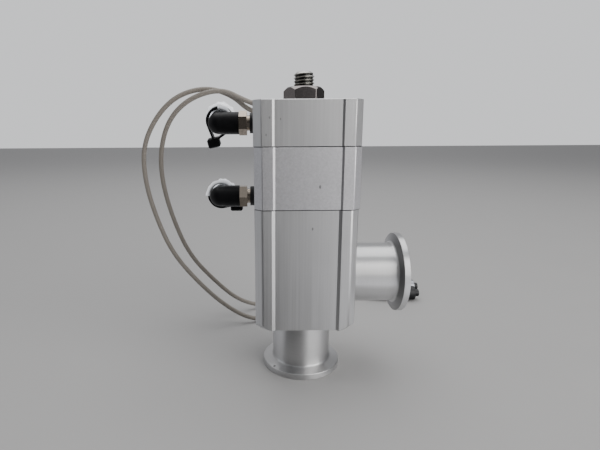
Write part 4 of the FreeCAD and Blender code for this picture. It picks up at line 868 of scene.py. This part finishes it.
MOUTH_EDGE = 5.6  # where the mouth ends if it isn't folded
FOLD_START = 5.45  # where a fold starts to open
FOLD_RAGS, FOLD_LIP, FOLD_SLOPE = 0.05, 0.15, 0.9  # its ragged edge, lip and reach to its height
HEAD_SPREAD = 45.0  # angle from the tie's head over which the bag keeps clear of it
HEAD_CLEAR = 1.1  # and how far it keeps back between these places
HEAD_FROM, HEAD_TO = 9.6, 12.0
# painted shade on the film's neck under the tie: the radius it reaches, its fade and where along
# the outlet it ends
DARK_RADIUS, DARK_FADE, DARK_END = 6.9, 0.8, 9.7  # dark neck: outside, fading, place of its end


def by_angle(table, angle):
    """Value of a table of angles and values, drawn straight between its rows."""
    for (low, start), (high, end) in zip(table, table[1:]):
        if low <= angle <= high:
            return start + (end - start) * (angle - low) / (high - low)
    return table[-1][1]


def film_rings(cover, pleat):
    """Outer face of a film cover as rings of places along the outlet and radii."""
    angles = [-180 + 360 * step / FILM_AROUND for step in range(FILM_AROUND)]
    rings = []
    for row in range(FILM_MOUTH_ROWS):
        ring = []
        for angle in angles:
            fold = by_angle(cover["fold"], angle)
            fold *= 1.0 + FOLD_RAGS * math.sin(math.radians(angle * 13))
            mouth = MOUTH_EDGE - min(1.0, fold / 0.5) * FOLD_LIP - FOLD_SLOPE * fold
            along = mouth + (TIE_START - mouth) * row / FILM_MOUTH_ROWS
            reach = max(1e-6, FOLD_START - mouth)
            lift = max(0.0, (FOLD_START - along) / reach) ** 0.8 if fold > 0.02 else 0.0
            ring.append((along, FILM_NECK + fold * lift))
        rings.append(ring)
    for along, radius, pleats, swell in FILM_STATIONS:
        ring = []
        for angle in angles:
            turn = math.radians(angle)
            crease = (math.sin(7 * turn + 0.25 * along) + 0.6 * math.sin(11 * turn - 0.4 * along)
                      + 0.4 * math.sin(19 * turn))
            close = max(0.0, 1.0 - abs(angle - cover["head"]) / HEAD_SPREAD)
            back = HEAD_CLEAR * min(1.0, 2 * close) if HEAD_FROM < along < HEAD_TO else 0.0
            ring.append((along + back, radius + 1000 * pleat * pleats * crease
                         + swell * by_angle(cover["bag"], angle)))
        rings.append(ring)
    return rings


def neck_shade(along, radius):
    """How far a place of a film cover lies in the painted shade of its neck, under the tie."""
    return max(0.0, min(1.0, (DARK_RADIUS - radius) / DARK_FADE)) if along < DARK_END else 0.0


def film_mesh(name, cover, pleat, wall):
    """Closed mesh of a thin film bag: folded mouth, neck under the tie, pleats and tail."""
    rings = film_rings(cover, pleat)
    work = bmesh.new()
    dark = work.verts.layers.float.new("neck_shade")
    shells = []
    for inward in (0.0, wall * 1000):
        shell = []
        for ring in rings:
            row = []
            for step, (along, radius) in enumerate(ring):
                turn = -math.pi + 2 * math.pi * step / FILM_AROUND
                reach = radius - inward
                vertex = work.verts.new((reach * math.cos(turn), along, reach * math.sin(turn)))
                vertex[dark] = neck_shade(along, radius)
                row.append(vertex)
            shell.append(row)
        shells.append(shell)
    outer, inner = shells
    ends = [work.verts.new((0, tail, 0)) for tail in FILM_TAILS]
    for step in range(FILM_AROUND):
        after = (step + 1) % FILM_AROUND
        for shell, end in zip(shells, ends):
            for low, high in zip(shell, shell[1:]):
                work.faces.new([low[step], low[after], high[after], high[step]])
            work.faces.new([shell[-1][step], shell[-1][after], end])
        work.faces.new([outer[0][after], outer[0][step], inner[0][step], inner[0][after]])
    bmesh.ops.recalc_face_normals(work, faces=work.faces)
    place = (Matrix.Scale(MM, 4) @ Matrix.Translation(cover["spot"])
             @ Matrix.Rotation(math.radians(cover["turn"]), 4, "X"))
    bmesh.ops.transform(work, matrix=place, verts=work.verts)
    return to_mesh(work, name, 60)


class VALVE_OT_films(bpy.types.Operator):
    """Make the two crumpled film covers on the elbows' outlets"""
    bl_idname = "valve.films"
    bl_label = "Film covers"

    def execute(self, context):
        settings = context.scene.valve_films
        for side, cover in FILM_COVERS.items():
            mesh = film_mesh(side + " film", cover, settings.pleat, settings.wall)
            new_piece(side + "_film_cover", mesh, side + "_fitting", side + "_dust_cover")
        return {"FINISHED"}


class VALVE_OT_leads(bpy.types.Operator):
    """Lay both switch leads from the switches round to their plugs"""
    bl_idname = "valve.leads"
    bl_label = "Switch leads"

    def execute(self, context):
        settings = context.scene.valve_leads
        for side, points in LEAD_COURSES.items():
            curve = bpy.data.curves.new(f"{side} lead", "CURVE")
            curve.dimensions = "3D"
            curve.bevel_depth = settings.diameter / 2
            curve.bevel_resolution = 6
            curve.resolution_u = 10
            curve.use_fill_caps = True
            spline = curve.splines.new("NURBS")
            spline.points.add(len(points) - 1)
            for point, spot in zip(spline.points, points):
                point.co = (*[value * MM for value in spot], 1.0)
            spline.order_u = 3
            spline.use_endpoint_u = True
            curve.materials.append(finish_of(f"switch_lead_{side}"))
            lead = new_object(f"{side}_lead", curve)
            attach(lead, "housing")
            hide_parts(f"switch_lead_{side}")
        return {"FINISHED"}


# Brightness of the studio all round: degrees from the camera's side towards +X, grey value
ROOM_WALLS = (
    (-180, 0.60), (-155, 0.50), (-138, 0.28), (-126, 0.36), (-90, 0.40), (-74, 0.36),
    (-58, 0.09), (-30, 0.06), (-6, 0.07), (3, 0.13), (22, 0.68), (75, 0.72), (92, 0.34),
    (106, 0.22), (122, 0.11), (138, 0.12), (158, 0.50), (180, 0.60),
)
ROOM_BLUE = 1.03  # blue of its grey


def make_walls_group():
    """The studio's brightness in a direction, by its turn about the valve."""
    tree, given, made = new_group("Studio all round", {"Direction": "Vector"},
                                  {"Brightness": "Color"})
    parts = add_node(tree, "ShaderNodeSeparateXYZ", (-900, 0))
    front = math_node(tree, (-700, -100), "MULTIPLY", {1: -1.0})
    azimuth = math_node(tree, (-500, 50), "ARCTAN2")
    turn = range_node(tree, (-300, 50), -math.pi, math.pi)
    walls = add_node(tree, "ShaderNodeValToRGB", (-100, 50))
    ramp = walls.color_ramp
    for spot, _ in ROOM_WALLS[1:-1]:
        ramp.elements.new(0.5 + spot / 360)
    for element, (_, grey) in zip(ramp.elements, ROOM_WALLS):
        element.color = (grey, grey, grey * ROOM_BLUE, 1.0)
    chain(tree, azimuth, turn, walls, made)
    wire(tree, (given, "Direction", parts, 0), (parts, "Y", front, 0), (parts, "X", azimuth, 0),
         (front, 0, azimuth, 1))
    return tree


def make_room(daylight, backdrop_tone):
    """Studio walls as the metal mirrors them, and the plain pale backdrop that is seen."""
    world = bpy.data.worlds.new("Soft room")
    world.use_nodes = True
    tree = world.node_tree
    background = tree.nodes["Background"]
    set_inputs(background, {"Strength": daylight})
    where = add_node(tree, "ShaderNodeTexCoord", (-900, 0))
    parts = add_node(tree, "ShaderNodeSeparateXYZ", (-700, -200))
    height = range_node(tree, (-500, -200), 0.50, 0.90, interpolation_type="SMOOTHSTEP")
    walls = add_node(tree, "ShaderNodeGroup", (-500, 100), node_tree=make_walls_group())
    ceiling = mix_colours(tree, (-250, 0), {COLOUR_B: (0.62, 0.63, 0.65, 1.0)})
    seen = add_node(tree, "ShaderNodeLightPath", (-250, 350))
    backdrop = mix_colours(tree, (0, 100), {COLOUR_B: (*backdrop_tone, 1.0)})
    wire(tree,
         (where, "Generated", walls, "Direction"), (where, "Generated", parts, 0),
         (parts, "Z", height, "Value"), (height, "Result", ceiling, "Factor"),
         (walls, "Brightness", ceiling, COLOUR_A), (seen, "Is Camera Ray", backdrop, "Factor"),
         (ceiling, COLOUR_OUT, backdrop, COLOUR_A), (backdrop, COLOUR_OUT, background, "Color"))
    return world


# painted light in reflections: glossy rays see the floor tinted by the studio's brightness times a
# gain, except near the valve's foot
NEAR_SPOT = (0.025, -0.012, 0.0)  # middle of the floor that the valve's foot mirrors
NEAR_TONE = (0.42, 0.415, 0.41, 1.0)
FLOOR_PAINTED_LIGHT_GAIN = (1.38, 1.38, 1.38, 1.0)


def make_floor_material(tone):
    """Plain pale floor; in the metal it shows painted light, as bright or dim as the studio behind
    it, but its plain tone near the valve's foot.
    """
    material = grained("Plain floor", tone, 0.0, 0.55, (20, 20, 20), variation=0.01, bump=0.0)
    tree, shader = nodes_of(material)
    plain = shader.inputs["Base Color"].links[0].from_socket
    where = add_node(tree, "ShaderNodeTexCoord", (-900, 600))
    walls = add_node(tree, "ShaderNodeGroup", (-700, 600),
                     node_tree=bpy.data.node_groups["Studio all round"])
    light = add_node(tree, "ShaderNodeLightPath", (-700, 400))
    mirrored = mix_colours(tree, (-450, 500))
    away = vector_node(tree, (-900, 850), "DISTANCE", {1: NEAR_SPOT})
    near = add_node(tree, "ShaderNodeMapRange", (-700, 850),
                    {"From Min": 0.045, "From Max": 0.080, "To Min": 0.20},
                    interpolation_type="SMOOTHSTEP")
    brighter = mix_colours(tree, (-500, 700), {"Factor": 1.0, COLOUR_B: FLOOR_PAINTED_LIGHT_GAIN},
                           blend_type="MULTIPLY")
    around = mix_colours(tree, (-300, 700), {COLOUR_A: NEAR_TONE})
    tree.links.new(plain, mirrored.inputs[COLOUR_A])
    wire(tree,
         (where, "Object", away, 0), (away, "Value", near, "Value"),
         (near, "Result", around, "Factor"), (walls, "Brightness", brighter, COLOUR_A),
         (brighter, COLOUR_OUT, around, COLOUR_B), (where, "Object", walls, "Direction"),
         (light, "Is Glossy Ray", mirrored, "Factor"), (around, COLOUR_OUT, mirrored, COLOUR_B),
         (mirrored, COLOUR_OUT, shader, "Base Color"))
    return material


# Name, place, aim, width and height, power and tint of each lamp, in metres and watts
STAGE_LIGHTS = (
    ("Key", (0.66, -0.64, 0.47), (0.0, 0.0, 0.10), (0.95, 0.90), 7.2, (1.0, 0.985, 0.965)),
    ("Overhead", (0.05, 0.30, 1.40), (0.0, 0.0, 0.05), (1.5, 1.3), 11.0, (1.0, 1.0, 1.0)),
    ("Fill", (-1.30, 0.02, 0.42), (0.0, 0.0, 0.08), (0.7, 0.7), 0.5, (0.86, 0.93, 1.0)),
)
FLOOR_HALF = 6.0
FLOOR_DROP = 0.00002  # below the valve's foot
CAMERA_SPOT = (-0.018867, -0.205378, 0.117745)
CAMERA_PITCH, CAMERA_ROLL, CAMERA_PAN = -0.206, 0.006, -0.001  # radians
CAMERA_SENSOR, CAMERA_LENS = 36.0, 24.80  # millimetres
CAMERA_SHIFT = 0.0575


class VALVE_OT_stage(bpy.types.Operator):
    """Set the floor, the lights and the camera"""
    bl_idname = "valve.stage"
    bl_label = "Stage"

    def execute(self, context):
        scene = context.scene
        settings = scene.valve_stage
        work = bmesh.new()
        bmesh.ops.create_grid(work, x_segments=1, y_segments=1, size=FLOOR_HALF)
        bmesh.ops.translate(work, verts=work.verts, vec=(0, 0, CAD_BOX[0][2] - FLOOR_DROP))
        floor_mesh = bpy.data.meshes.new("Floor")
        work.to_mesh(floor_mesh)
        work.free()
        scene.world = make_room(settings.daylight, tuple(settings.backdrop_tone))
        floor_mesh.materials.append(make_floor_material(tuple(settings.floor_tone)))
        made = [new_object("Floor", floor_mesh)]
        for name, spot, aim, size, power, tint in STAGE_LIGHTS:
            data = bpy.data.lights.new(name, "AREA")
            data.shape = "RECTANGLE"
            data.size, data.size_y = size
            data.energy = power * settings.lamps
            data.color = tint
            light = new_object(name, data)
            light.location = spot
            light.rotation_euler = (Vector(aim) - Vector(spot)).to_track_quat("-Z", "Y").to_euler()
            made.append(light)
        data = bpy.data.cameras.new("Camera")
        data.sensor_width = CAMERA_SENSOR
        data.lens = CAMERA_LENS
        data.shift_x = CAMERA_SHIFT
        data.clip_start = 0.01
        camera = new_object("Camera", data)
        camera.matrix_world = (
            Matrix.Translation(CAMERA_SPOT) @ Matrix.Rotation(CAMERA_PAN, 4, "Z")
            @ Matrix.Rotation(math.pi / 2 + CAMERA_PITCH, 4, "X")
            @ Matrix.Rotation(-CAMERA_ROLL, 4, "Z"))
        scene.camera = camera
        return {"FINISHED"}


class VALVE_PT_panel(bpy.types.Panel):
    """Settings and steps that dress the valve"""
    bl_idname = "VALVE_PT_panel"
    bl_label = "Vacuum angle valve"
    bl_space_type = "VIEW_3D"
    bl_region_type = "UI"
    bl_category = "Valve"

    def draw(self, context):
        for group in SETTINGS:
            settings = getattr(context.scene, group)
            box = self.layout.box()
            for name in settings.__annotations__:
                box.prop(settings, name)
        for operator in STEPS:
            self.layout.operator(operator.bl_idname)


STEPS = (VALVE_OT_finishes, VALVE_OT_blocks, VALVE_OT_thread, VALVE_OT_lock_nut,
         VALVE_OT_nut_ribs, VALVE_OT_springs, VALVE_OT_films, VALVE_OT_leads, VALVE_OT_stage)
SETTINGS = {"valve_metal": ValveMetalSettings, "valve_thread": ValveThreadSettings,
            "valve_lock_nut": ValveLockNutSettings, "valve_nut_ribs": ValveNutRibSettings,
            "valve_films": ValveFilmSettings, "valve_leads": ValveLeadSettings,
            "valve_stage": ValveStageSettings}


def register():
    """Register the settings, the steps and the panel."""
    for name, kind in SETTINGS.items():
        bpy.utils.register_class(kind)
        setattr(bpy.types.Scene, name, bpy.props.PointerProperty(type=kind))
    for kind in STEPS + (VALVE_PT_panel,):
        bpy.utils.register_class(kind)


def unregister():
    """Take them all away again."""
    for kind in reversed(STEPS + (VALVE_PT_panel,)):
        bpy.utils.unregister_class(kind)
    for name, kind in SETTINGS.items():
        delattr(bpy.types.Scene, name)
        bpy.utils.unregister_class(kind)


def main():
    """Dress the valve step by step."""
    register()
    bpy.ops.valve.finishes()
    bpy.ops.valve.blocks()
    bpy.ops.valve.thread()
    bpy.ops.valve.lock_nut()
    bpy.ops.valve.nut_ribs()
    bpy.ops.valve.springs()
    bpy.ops.valve.films()
    bpy.ops.valve.leads()
    bpy.ops.valve.stage()


if __name__ == "__main__":
    main()
